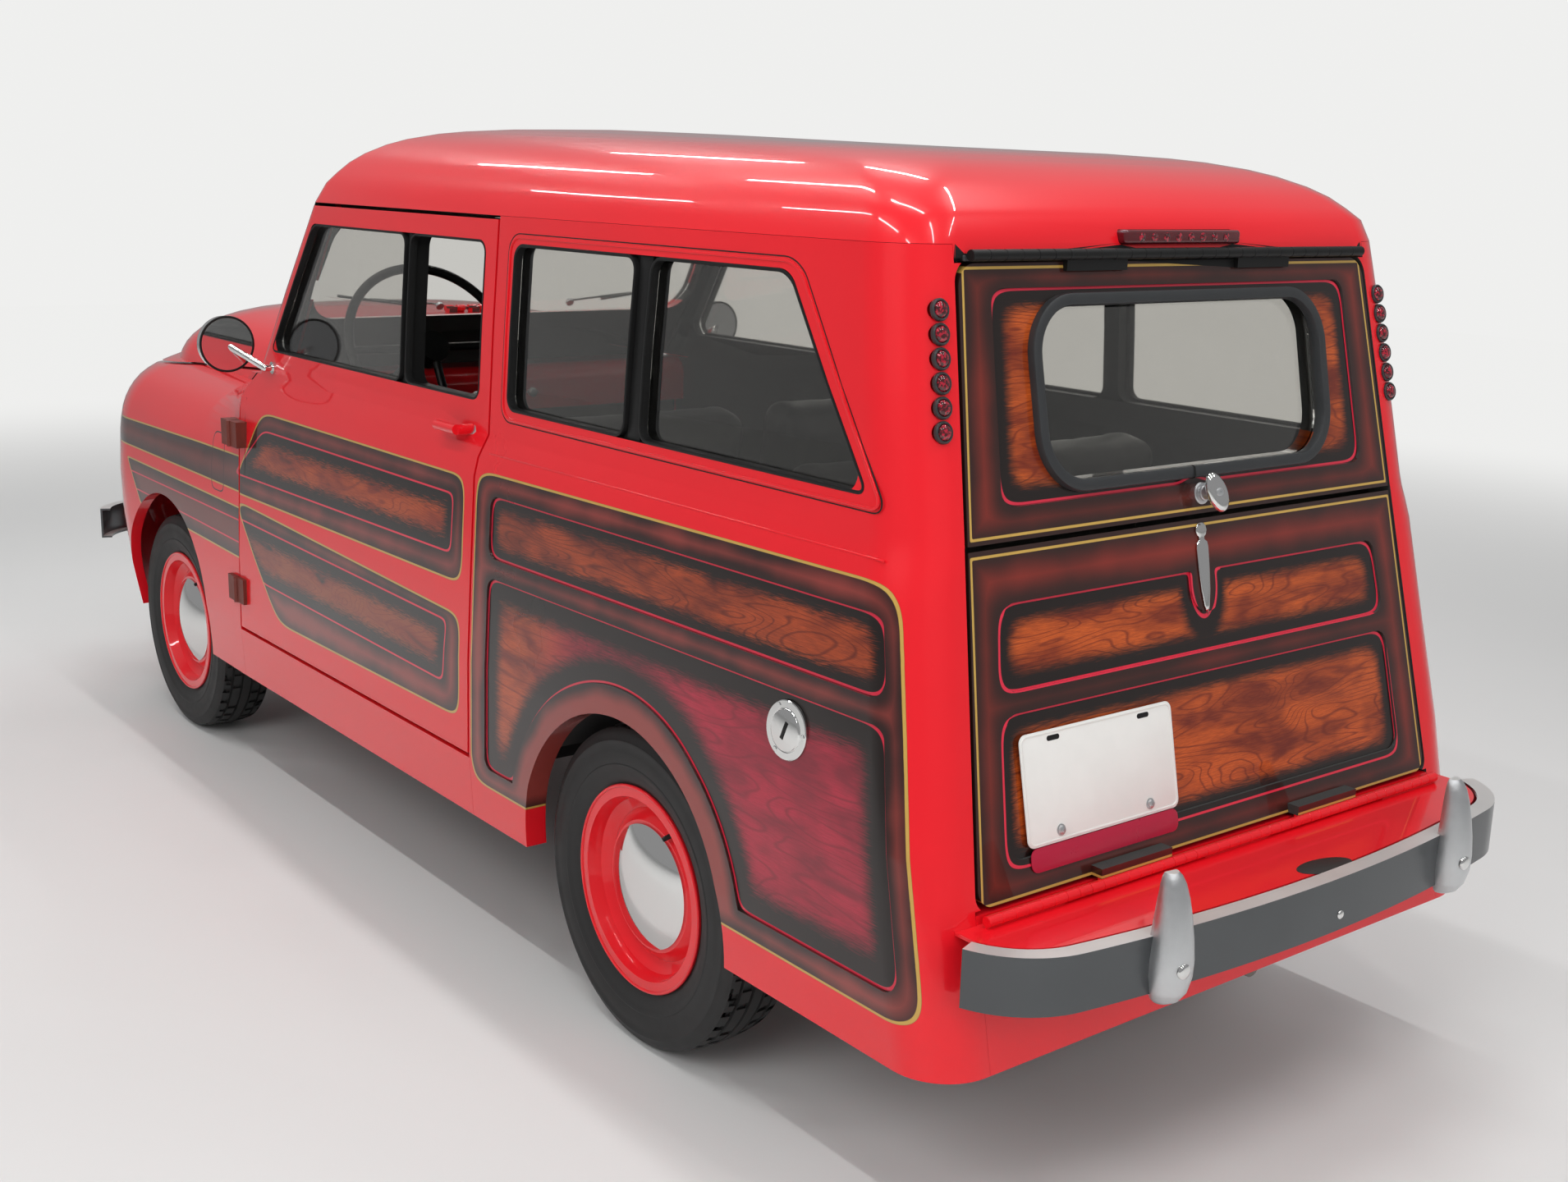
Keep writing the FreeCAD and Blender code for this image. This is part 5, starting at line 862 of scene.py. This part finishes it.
for side, sign, surface in SIDES:
    retouch(f"wing_{side}", red_paint, lambda polygon: polygon.normal.x * sign < 0.05)
    for name in (f"wing_{side}", f"door_{side}"):
        retouch(name, hinge_paint, is_hinge)
    retouch(f"quarter_{side}", black_trim, in_channel(0.520, 1.463, 0.747))
    retouch(f"door_{side}", black_trim, in_channel(-0.500, 0.434))
    for name, shape, low, high, body, material, slot in (
            ("belt_crease", rect(500, 904, 1500, 906.5), -0.001, 0.001, "body", red_paint, "body_paint"),
            ("quarter_post", rect(886, 979, 920, 1258), -0.0095, -0.005, "body", black_trim, "cabin_black"),
            ("door_post", rect(127, 984, 143, 1257), -0.0095, -0.006, f"door_{side}", black_trim, "cabin_black")):
        piece(f"{name}_{side}", plate(shape, 0, low, high, surface), body, material)
    for name, shape, radius, width, top, material, slot in (
            ("quarter_moulding", MOULDING, 0.030, 0.0045, 0.0022, red_paint, "body_paint"),
            ("quarter_moulding_edge", MOULDING_EDGE, 0.033, 0.0018, 0.0006, black_trim, "cabin_black")):
        piece(f"{name}_{side}", band(shape, radius, width, -0.001, top, surface), "body", material)

# %% [markdown]
# ## Hinges of the tail
# A long piano hinge carries each tail door: a row of short tubes that belong to the body and to the door in
# turn. Each tube is a ring spun about the hinge line, and it rides with the part that it belongs to.

# %% Rows of hinge tubes
HATCH_LINE, GATE_LINE = (1484, 1286), (1661, 456)


def within(place, spans):
    """Whether a distance from the car's middle lies in one of some spans."""
    return any(low < abs(place) < high for low, high in spans)


def hinge_row(name, place, start, length, count, fixed, moving, carrier, outer, material):
    """Tubes on one hinge line, gathered into one piece for the body and one for the door."""
    rows = {"body": [], carrier: []}
    half = length / 2 - 0.35
    ring = [(4.4, -half), (outer - 0.7, -half), (outer, 0.7 - half), (outer, half - 0.7), (outer - 0.7, half),
            (4.4, half), (4.4, -half)]
    for number in range(count):
        middle = start + (number + 0.5) * length
        own = (number % 2 == 0 or within(middle, fixed)) and not within(middle, moving)
        rows["body" if own else carrier].append(aimed(spun(ring, 18), (middle, *place), (1, 0, 0)))
    for body, tubes in rows.items():
        piece(f"{name}_{body}", gathered(tubes), body, material)


def near_line(place, reach):
    """A test for faces near a hinge line."""
    def chosen(polygon):
        return math.hypot(polygon.center.y - place[0] / 1000, polygon.center.z - place[1] / 1000) < reach
    return chosen


hinge_row("piano_hinge", HATCH_LINE, -420, 30, 28, ((0, 60), (300, 420)), ((120, 240),), "hatch", 7.7, black_trim)
hinge_row("gate_hinge", GATE_LINE, -504, 24, 42, ((0, 72), (360, 504)), ((144, 288),), "tailgate", 7.8, red_paint)
retouch("roof", black_trim, near_line(HATCH_LINE, 0.013))
retouch("hatch", black_trim, near_line(HATCH_LINE, 0.019))
retouch("tailgate", red_paint, near_line(GATE_LINE, 0.0125))
weather_strip = aimed(block((848, 7, 8), 2.4), (0, 1473, 1282), UP)
piece("hatch_weather_strip", weather_strip, "hatch", seal_rubber)

# %% [markdown]
# ## Lamps at the tail
# Six small red lamps stand in a column at each side of the hatch, each a domed lens in a black rubber ring, and
# a long brake lamp with eight lights sits on the roof's edge. Both replace the plain solids of the CAD model.

# %% Tail lamps
BEZEL = [(14.7, -3), (14.7, 1.4), (13.2, 3.3), (11.4, 2.6), (11.0, 1.0), (11.0, -3), (14.7, -3)]
DOME = [(0, -3), (11.1, -3), (11.1, 1.6), (9.6, 4.4), (6.6, 6.2), (3.2, 6.9), (0, 7.1)]
LAMP_ROWS, LAMP_TOP, LAMP_PITCH = 6, 1219, 30.4
LAMP_ACROSS, LAMP_SPREAD = 471, 13

seats = [tail_spot(sign * (LAMP_ACROSS + LAMP_SPREAD * step / 5), LAMP_TOP - LAMP_PITCH * step)
         for sign in (1, -1) for step in range(LAMP_ROWS)]
turnings("tail_lamp_rings", BEZEL, 28, seats, TAIL_OUT, "body", seal_rubber, 33)
lenses = turnings("tail_lamp_lenses", DOME, 28, seats, TAIL_OUT, "body", lens_red, 60)
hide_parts("tail_lamps")

# %% Brake lamp
DOT = [(0, -1), (6.4, -1), (6.4, 0.9), (5.0, 1.3), (4.4, 0.7), (2.6, 2.0), (0, 2.4)]
DOT_COUNT, DOT_START, DOT_PITCH = 8, -91, 26
low, high = (Vector(corner) * 1000 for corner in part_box("brake_lamp"))
middle = (low + high) / 2
housing = block(high - low, 5.5, 4)
brake_lamp = piece("brake_lamp_housing", aimed(housing, middle, UP), "body", lamp_housing)
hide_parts("brake_lamp")
seats = [(DOT_START + DOT_PITCH * number, high.y - 0.6, middle.z) for number in range(DOT_COUNT)]
turnings("brake_lamp_dots", DOT, 20, seats, REARWARD, "body", lens_red)

# %% [markdown]
# ## Plate, ornament and handle of the tail
# The number plate is a white stamping with a raised edge, two empty slots and two bolts, over a bare red strip; the
# slots are thin black plates of painted shade.
# The ornament is a plain tapered blade with a round head: a turned shape that is then flattened. The handle is a
# round shaft with an oval grip, and beside it the hatch seal's two ends meet in a thin joint.

# %% Number plate
PLATE_BOLT = [(0, -4), (3.4, -4), (3.4, 0), (8, 0), (8, 0.9), (6.4, 1.3), (5.6, 3.6), (4.2, 4.6), (1.2, 4.8),
              (1.0, 4.0), (0, 4.0)]
PLATE_BOLTS = (163, 342)
piece("number_plate", plate(rect(103, 522, 405, 671), 0.012, 0.0015, 0.0030, on_tail), "tailgate", plate_white)
piece("number_plate_edge", band(rect(105.5, 524.5, 402.5, 668.5), 0.011, 0.0022, 0.0028, 0.0038, on_tail),
      "tailgate", plate_white)
piece("number_plate_strip", plate(rect(107, 489, 401, 521), 0.012, 0.0012, 0.0026, on_tail), "tailgate",
      strip_red)
# Painted shade: the slots are not cut, a thin black plate lies in each.
slots = [plate(rect(across - 12, 656, across + 12, 663), 0.0034, 0.0029, 0.0033, on_tail) for across in PLATE_BOLTS]
piece("number_plate_slot_shades", gathered(slots), "tailgate", black_trim)
turnings("number_plate_bolts", PLATE_BOLT, 24, [tail_spot(across, 537, 3) for across in PLATE_BOLTS], TAIL_OUT,
         "tailgate", cast_metal, 33)

# %% Ornament
BLADE = [(0, 0), (4.2, 14), (7.4, 36), (9.2, 66), (9.8, 94), (8.6, 101), (4.6, 104), (4.4, 108), (7.6, 111),
         (9.2, 117), (7.8, 123), (4.4, 127), (0, 128)]
upright = Matrix(((1, 0, 0), (0, TAIL_OUT.y, -TAIL_OUT.z), (0, TAIL_OUT.z, TAIL_OUT.y))).to_4x4()
blade = spun(BLADE, 24)
bmesh.ops.scale(blade, vec=(1.3, 0.42, 1.06), verts=blade.verts)
blade_place = Matrix.Translation(tail_spot(5, 776, 2) / 1000) @ upright
bmesh.ops.transform(blade, matrix=blade_place, verts=blade.verts)
piece("gate_ornament", blade, "tailgate", chrome, 50)

# %% Hatch handle
COLLAR = [(0, -2), (16, -2), (16, 1.2), (14.5, 2.6), (11, 3), (11, 7), (9.6, 8), (9.6, 16), (11, 17), (11, 22),
          (9, 24), (0, 24)]
GRIP = [(0, -7), (12, -6.6), (18, -4), (20, 0), (18.6, 4), (15, 6.4), (12, 7), (0, 7)]
LOCK = [(0, -1), (6, -1), (6, 0.8), (5, 1.3), (1.4, 1.3), (1.2, 0.3), (0, 0.3)]
seat, end = tail_spot(-5, 949), tail_spot(-5, 949, 28)
look = Vector((0.22, 1, 0.25)).normalized()
turnings("hatch_handle_shaft", COLLAR, 32, [seat], TAIL_OUT, "hatch", cast_metal)
grip = spun(GRIP, 40)
bmesh.ops.scale(grip, vec=(0.86, 1.5, 1), verts=grip.verts)
piece("hatch_handle_grip", aimed(grip, end, look, math.radians(8)), "hatch", chrome, 40)
piece("hatch_seal_joint", plate(rect(14, 971, 16.5, 990), 0, -0.002, 0.0086, on_tail), "hatch", black_trim)
turnings("hatch_lock", LOCK, 24, [end + look * 7], look, "hatch", cast_metal)

# %% [markdown]
# ## Filler cap, door handles and mirrors
# The filler is a flat flange with three screws and a raised disc with a slot, drawn as a black bar of painted
# shade where the hollow would be. The door handles have a metal ring where they enter the door, and each mirror
# has a thin dark rim round its glass.

# %% Filler cap
CAP = [(0, -6), (42, -6), (42, 1.2), (40.8, 2.4), (31.5, 2.6), (30.6, 2.0), (29.8, 2.6), (29.0, 4.2), (27.4, 4.9),
       (0, 5.2)]
SCREW = [(0, 1), (4.2, 1), (4.2, 2.8), (3.2, 3.7), (0, 3.9)]
SCREW_CIRCLE = 36.2
CAP_PLACE = Vector((593.2, 1352, 646))
CAP_OUT = Vector((1, 0.03, 0.06)).normalized()
cap_parts = [spun(CAP, 64)]
for angle in (math.radians(degrees) for degrees in (90, 210, 330)):
    spot = Vector((math.cos(angle), math.sin(angle), 0)) * SCREW_CIRCLE
    cap_parts.append(aimed(spun(SCREW, 18), spot, UP))
filler = piece("filler_cap", aimed(gathered(cap_parts), CAP_PLACE, CAP_OUT), "body", chrome, 30)
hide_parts("fuel_cap")
# Painted shade: the slot is a thin black bar laid on the cap, not a hollow.
keyhole_shade = aimed(block((6.5, 27, 1.6), 0.7, 2), CAP_PLACE + CAP_OUT * 5.2, CAP_OUT, math.radians(70))
piece("filler_slot_shade", keyhole_shade, "body", black_trim)

# %% Door handle rings, mirror rims and glass
HANDLE_RING = [(9.3, -3), (15.5, -3), (15.5, 3.4), (14, 5), (11, 5.4), (9.3, 4.6), (9.3, -3)]
MIRROR_RIM = [(54.4, -1.2), (56.6, -1.8), (58.9, -1.2), (59.4, 0.2), (58.4, 1.4), (56.4, 1.8), (54.6, 1.0),
              (54.4, -1.2)]
MIRROR_GLASS = [(0, -0.6), (55, -0.6), (55, 0.3), (0, 0.5)]
for side, sign, surface in SIDES:
    handle = (sign * (handle_x - 4), HANDLE_ALONG, HANDLE_HEIGHT)
    mirror = (sign * 640, -520, 1000)
    for name, profile, steps, place, direction, material, degrees in (
            ("door_handle_ring", HANDLE_RING, 32, handle, (sign, 0, 0.25), cast_metal, 40),
            ("mirror_rim", MIRROR_RIM, 56, mirror, REARWARD, black_trim, 60),
            ("mirror_glass", MIRROR_GLASS, 56, mirror, REARWARD, mirror_silver, 30)):
        turnings(f"{name}_{side}", profile, steps, [place], direction, f"door_{side}", material, degrees=degrees)

# %% [markdown]
# ## Bumpers
# Each bumper is a channel of one steel with a finely brushed face, flanges and two cast overriders. Its upright
# face is painted dark and its flat flanges bright, a painted reflection of a dark floor below and of bright light
# above. It is one CAD node, so its skin is painted by place and by the way each face looks. The rear one has
# three bolts, and the ledge behind it has an oval recess, drawn as a thin black disc of painted shade.

# %% Bumper skins and bolts
BOLT = [(0, -3), (8, -3), (8, 0.4), (7.2, 1.6), (4.5, 2.8), (0, 3.2)]
RECESS_SHADE = [(0, -0.4), (52, -0.4), (52, 0.5), (50, 0.9), (0, 0.9)]
OVERRIDER_ACROSS = 0.319


def is_overrider(node):
    """A test for faces whose corners all lie near an overrider."""
    points = bpy.data.objects[node + "_skin"].data.vertices

    def chosen(polygon):
        near = all(abs(abs(points[v].co.x) - OVERRIDER_ACROSS) < 0.033 for v in polygon.vertices)
        return near and abs(polygon.normal.z) < 0.98
    return chosen


for node in ("bumper_rear", "bumper_front"):
    skin(node, "body", bumper_face, lined=False)
    # Painted reflection: faces that lie flat get the bright metal, upright faces keep the dark one.
    retouch(node, bumper_metal, lambda polygon: abs(polygon.normal.z) > 0.8)
    retouch(node, cast_metal, is_overrider(node))
heads = []
for across, height, size in ((326, 409, 1.35), (-312, 410, 1.35), (-33, 391, 0.85)):
    hit = touched("bumper_rear", (across, 3000, height), (0, -1, 0))
    heads.append(aimed(spun([(radius * size, level) for radius, level in BOLT], 24), hit, REARWARD))
piece("bumper_bolts", gathered(heads), "body", chrome, 50)
# Painted shade: the recess is not cut; a thin black oval disc lies on the ledge in its place.
recess_shade = spun(RECESS_SHADE, 48)
bmesh.ops.scale(recess_shade, vec=(1, 0.42, 1), verts=recess_shade.verts)
hit = touched("rear_valance", (-46, 1780, 900), (0, 0, -1))
piece("ledge_recess", aimed(recess_shade, hit, UP, math.radians(-6)), "body", frame_black)
print("ledge recess at", [round(value) for value in hit])

# %% [markdown]
# ## Tyres
# A tyre is turned too: half its cross-section is an outline with a bead, a bulging sidewall with two raised
# rings, and a crown with four grooves round it. One spin makes the carcass. The short cuts across its shoulders
# and ribs are made after that, on every third face, pushed inwards one by one.

# %% Tyre section
TYRE_RADIUS = 266
TREAD_ARC = 300
GROOVE_DEPTH = 5.5


def crown(across):
    """The tyre's radius at a distance from its middle plane."""
    return TYRE_RADIUS - TREAD_ARC + math.sqrt(TREAD_ARC ** 2 - across ** 2)


SIDEWALL = [(156, 49.0), (163, 52.3), (171, 54.0), (180, 59.5), (190, 63.2), (197, 65.0), (199, 66.3), (203, 66.9),
            (205, 66.0), (214, 67.3), (226, 67.2), (236, 65.8), (238, 66.6), (242, 66.2), (244, 64.6), (251, 61.8),
            (257, 58.6), (260.6, 55.2)]
RIBS = ((50, 0), (39, 0), (37.4, 1), (34.6, 1), (33, 0), (15, 0), (13.4, 1), (10.6, 1), (9, 0))
half = SIDEWALL + [(crown(edge) - GROOVE_DEPTH * groove, edge) for edge, groove in RIBS]
section = half + [(radius, -across) for radius, across in reversed(half)] + SIDEWALL[:1]

SPIN_STEPS = 132
CUT_BANDS = ((50.0, 56.5), (39.0, 50.0), (15.0, 33.0))
CUT_DEPTH = 0.004


def siped(tyre):
    """Push every third face of the outer ribs inwards, so that the tread has blocks."""
    chosen = []
    for face in tyre.faces:
        centre = face.calc_center_median() * 1000
        radius = math.hypot(centre.x, centre.y)
        step = int((math.atan2(centre.y, centre.x) / math.tau + 1) * SPIN_STEPS + 0.5)
        for number, (low, high) in enumerate(CUT_BANDS):
            if radius > TYRE_RADIUS - 10 and low < abs(centre.z) < high and abs(face.normal.z) < 0.9:
                if (step + number + (centre.z > 0)) % 3 == 0:
                    chosen.append(face)
    for face in bmesh.ops.extrude_discrete_faces(tyre, faces=chosen)["faces"]:
        inward = face.calc_center_median()
        inward.z = 0
        bmesh.ops.translate(tyre, verts=face.verts, vec=inward.normalized() * -CUT_DEPTH)
    return tyre


# %% Four tyres, rim lips and valve stems
LIPS = ((167.5, 57.6, 3.0), (150, 44, 3.4), (167.5, -57.6, 3.0))
STEM = [(0, -6), (5.2, -6), (5.2, 8), (4.2, 10), (4.0, 27), (3.2, 29), (0, 29)]


def rolled(radius, height, thickness):
    """A round lip: a small circle spun about the wheel's axis."""
    bm = bmesh.new()
    seat = Matrix.Translation((radius / 1000, 0, height / 1000)) @ Matrix.Rotation(math.pi / 2, 4, "X")
    bmesh.ops.create_circle(bm, segments=12, radius=thickness / 1000, matrix=seat)
    return turned(bm, 96)


for corner in corners:
    low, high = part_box("tyre_" + corner)
    middle = (Vector(low) + Vector(high)) * 500
    sign = 1 if middle.x > 0 else -1
    wheel = "wheel_" + corner
    tyre = piece("tyre_" + corner + "_treaded", aimed(siped(spun(section, SPIN_STEPS)), middle, (1, 0, 0)),
                 wheel, rubber, 30)
    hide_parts("tyre_" + corner)
    lips = gathered([rolled(*lip) for lip in LIPS])
    piece("rim_lips_" + corner, aimed(lips, middle, (sign, 0, 0)), wheel, red_paint, 60)
    hit = touched(wheel, (sign * 900, middle.y + 66, middle.z + 112), (-sign, 0, 0))
    turnings("valve_stem_" + corner, STEM, 16, [hit], (sign, -0.25, -0.42), wheel, black_trim)
print("tyre faces:", len(tyre.data.polygons))

# %% [markdown]
# ## Wipers and the dashboard
# Two wipers lie along the foot of the windscreen. Each needs three points on the glass, found by looking back
# at it from the front of the car. The dashboard has one large dial behind the steering wheel and three knobs.

# %% Wipers
WIPER_FOOT = [(0, -2), (9, -2), (9, 5), (6, 9), (0, 10)]
WIPER_POINTS = ((170, 1072), (255, 1076), (415, 1098))
ARM, BLADE_STRIP = (5, 3), (3, 6)
LIFT = Vector((0, -0.81, 0.58))


def bar(start, end, size, edge):
    """A slim bar between two places, in millimetres."""
    return aimed(block((*size, (end - start).length), edge, 2), (start + end) / 2, end - start)


arms, strips = [], []
for sign in (1, -1):
    pivot, near, tip = (touched("windscreen", (sign * across, -3000, height), REARWARD)
                        for across, height in WIPER_POINTS)
    arms.append(aimed(spun(WIPER_FOOT, 24), pivot, LIFT))
    arms.append(bar(pivot + LIFT * 8, (tip + near) / 2 + LIFT * 9, ARM, 1.0))
    arms.append(bar(near + LIFT * 7, tip + LIFT * 7, ARM, 1.0))
    strips.append(bar(near + LIFT * 3.2, tip + LIFT * 3.2, BLADE_STRIP, 0.8))
piece("wiper_arms", gathered(arms), "body", cast_metal, 40)
piece("wiper_blades", gathered(strips), "body", rubber, 40)

# %% Dial and knobs
DIAL_RING = [(40, -2), (46, -2), (46, 3), (43, 5), (40, 3), (40, -2)]
DIAL_FACE = [(0, -1), (41, -1), (41, 1), (0, 1.4)]
KNOB = [(0, -2), (4, -2), (4, 14), (10, 16), (11, 22), (8, 26), (0, 27)]
dial_place = touched("dashboard", (280, 300, 880), (0, -1, 0))
turnings("dash_dial_ring", DIAL_RING, 40, [dial_place], REARWARD, "body", chrome)
turnings("dash_dial_face", DIAL_FACE, 40, [dial_place], REARWARD, "body", plate_white, 33)
seats = [touched("dashboard", (across, 300, 868), (0, -1, 0)) for across in (90, 20, -60)]
turnings("dash_knobs", KNOB, 20, seats, REARWARD, "body", cast_metal)

# %% [markdown]
# ## Seats
# Each seat is a padded cushion and a padded back in dark vinyl. A block would look hard, so each pad starts a
# little small, is remeshed to even squares, and Blender's cloth inflates it with pressure and no gravity. How
# far a point may move is capped, so a pad stays in the room that the CAD seat takes up.

# %% Padding
SIM_FRAMES = 20
PAD_VOXEL, PAD_CAP, PAD_SHRINK = 0.009, 0.012, 16
FLUTE_PITCH, FLUTE_DEPTH, FLUTE_FADE = 0.078, 0.005, 0.03


def baked(made):
    """Replace an object's mesh by what its modifiers make of it."""
    depsgraph = bpy.context.evaluated_depsgraph_get()
    mesh = bpy.data.meshes.new_from_object(made.evaluated_get(depsgraph))
    made.modifiers.clear()
    old, made.data = made.data, mesh
    bpy.data.meshes.remove(old)


def inflate(made):
    """Let cloth pressure swell a pad, no point further than the cap."""
    before = [vert.co.copy() for vert in made.data.vertices]
    cloth = made.modifiers.new("padding", "CLOTH")
    cloth.settings.use_pressure = True
    cloth.settings.uniform_pressure_force = 4
    cloth.settings.effector_weights.gravity = 0
    cloth.settings.quality = 5
    cloth.point_cache.frame_start = 1
    cloth.point_cache.frame_end = SIM_FRAMES
    for number in range(1, SIM_FRAMES + 1):
        scene.frame_set(number)
    baked(made)
    scene.frame_set(1)
    for vert, start in zip(made.data.vertices, before):
        shift = vert.co - start
        if shift.length > PAD_CAP:
            vert.co = start + shift.normalized() * PAD_CAP


def pad(size, edge):
    """The swollen mesh of one pad, with sewn channels pressed into the side that is sat on."""
    made = placed("pad", block([side - PAD_SHRINK for side in size], edge, 5))
    remesh = made.modifiers.new("even squares", "REMESH")
    remesh.mode = "VOXEL"
    remesh.voxel_size = PAD_VOXEL
    baked(made)
    inflate(made)
    bm = bmesh.new()
    bm.from_mesh(made.data)
    held = made.data
    bpy.data.objects.remove(made)
    bpy.data.meshes.remove(held)
    for vert in bm.verts:
        share = max(vert.co.z, 0)
        if share > 0:
            wave = abs(math.sin(math.pi * vert.co.x / FLUTE_PITCH))
            vert.co.z -= FLUTE_DEPTH * (1 - wave) ** 3 * min(share / FLUTE_FADE, 1)
    return bm


def copied(source, place, turn_up=0.0):
    """A copy of a mesh, turned up about X and brought to a place in millimetres."""
    copy = source.copy()
    matrix = Matrix.Translation(Vector(place) / 1000) @ Matrix.Rotation(turn_up, 4, "X")
    bmesh.ops.transform(copy, matrix=matrix, verts=copy.verts)
    return copy


# %% Cushions and backs
BACK_SLOPE = 0.2
BACK_LEAN = math.atan(BACK_SLOPE)
BACK_TOP, BACK_THICK, FOOT_THICK = 985, 120, 130
SEAT_ROWS = (("front_seats", "front", 460, (260, -260), 0, 430, 376, 560),
             ("rear_seat", "rear", 796, (0,), 660, 1060, 448, 610))
for node, row, width, places, front, rear, low, top in SEAT_ROWS:
    deep, along = rear - front - 40, (front + rear) / 2 - 8
    foot = pad((width, deep, FOOT_THICK), 38)
    rest = pad((width, (BACK_TOP - low - 20) / math.cos(BACK_LEAN) - 30, BACK_THICK), 36)
    base = block((width - 60, deep, top - low - 110), 12)
    rest_along = rear - BACK_THICK / 2 + (BACK_TOP - low) / 2 * BACK_SLOPE + 6
    padded, hard = [], []
    for across in places:
        padded.append(copied(foot, (across, along, top - 68)))
        padded.append(copied(rest, (across, rest_along, (BACK_TOP + low) / 2 + 6), math.pi / 2 - BACK_LEAN))
        hard.append(copied(base, (across, along, (low + top) / 2 - 52)))
    for source in (foot, rest, base):
        source.free()
    cushions = piece(f"seat_pads_{row}", gathered(padded), "body", seat_vinyl, 60)
    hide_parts(node)
    piece(f"seat_base_{row}", gathered(hard), "body", frame_black, 40)

# %% [markdown]
# ## Floor, backdrop and light
# The photograph was taken in a white room under rows of long lamps. A pale floor that fades into a pale backdrop
# stands in for the room. The lamps are long soft boxes, because a curved lacquered roof shows the shape of each
# lamp.

# %% Stage
FLOOR_TONE, GLOW_TONE = (0.80, 0.80, 0.79), (0.86, 0.86, 0.85, 1)
ROOM_TONE, BACKDROP_TONE = (0.80, 0.80, 0.81, 1), (0.93, 0.93, 0.92, 1)


def seen(wiring):
    """One for rays that come from the camera, straight or through glass."""
    rays = wiring.node("LightPath").outputs
    return wiring.math("MAXIMUM", rays["Is Camera Ray"], rays["Is Transmission Ray"])


ground = bmesh.new()
bmesh.ops.create_grid(ground, x_segments=8, y_segments=8, size=14)
stage = placed("floor", ground)
floor_paint = simple("floor_paint", FLOOR_TONE, 0.55, 0.6, 0.05, 0.1, 0)
wiring = Wiring(floor_paint.node_tree)
nodes = floor_paint.node_tree.nodes
flat = wiring.vector("MULTIPLY", wiring.node("TexCoord").outputs["Object"], (1, 1, 0))
far = wiring.fade(wiring.vector("LENGTH", flat), 3.0, 7.5)
glow, both = wiring.node("Emission"), wiring.node("MixShader")
wiring.feed(glow.inputs["Color"], GLOW_TONE)
wiring.feed(both.inputs[0], wiring.math("MULTIPLY", far, seen(wiring)))
wiring.feed(both.inputs[1], nodes["Principled BSDF"].outputs[0])
wiring.feed(both.inputs[2], glow.outputs[0])
wiring.feed(nodes["Material Output"].inputs[0], both.outputs[0])
stage.data.materials.append(floor_paint)

world = bpy.data.worlds.new("room")
scene.world = world
world.use_nodes = True
room = Wiring(world.node_tree)
direct = seen(room)
background = world.node_tree.nodes["Background"].inputs
room.feed(background["Color"], room.blend(direct, ROOM_TONE, BACKDROP_TONE))
room.feed(background["Strength"], room.math("MULTIPLY_ADD", direct, 0.55, 0.38))

# %% Lamps
TUBE_SIZE, TUBE_POWER, TUBE_HEIGHT = (0.07, 1.3), 11, 3.4
FILL_SIZE = (3.0, 2.2)
FILLS = (("keyhole_shade", (4.2, 2.4, 3.4), (0, 0.3, 0.6), 75), ("tail_fill", (0.6, 5.4, 2.2), (0, 1.2, 0.6), 45),
         ("far_fill", (-4.0, -2.5, 3.0), (0, 0, 0.6), 40))


def soft_box(name, place, target, size, power):
    """A long soft lamp aimed at a point."""
    light = bpy.data.lights.new(name, "AREA")
    light.shape = "RECTANGLE"
    light.size, light.size_y = size
    light.energy = power
    made = bpy.data.objects.new(name, light)
    aim = (Vector(target) - Vector(place)).to_track_quat("-Z", "Y")
    made.matrix_world = Matrix.Translation(place) @ aim.to_matrix().to_4x4()
    scene.collection.objects.link(made)
    return made


for number in range(12):
    column, row = divmod(number, 4)
    x, y = 1.7 - column * 1.5, 3.0 - row * 1.9
    soft_box(f"tube_{number}", (x, y, TUBE_HEIGHT), (x, y + 0.01, 0), TUBE_SIZE, TUBE_POWER)
for name, place, aim, power in FILLS:
    soft_box(name, place, aim, FILL_SIZE, power).visible_glossy = False
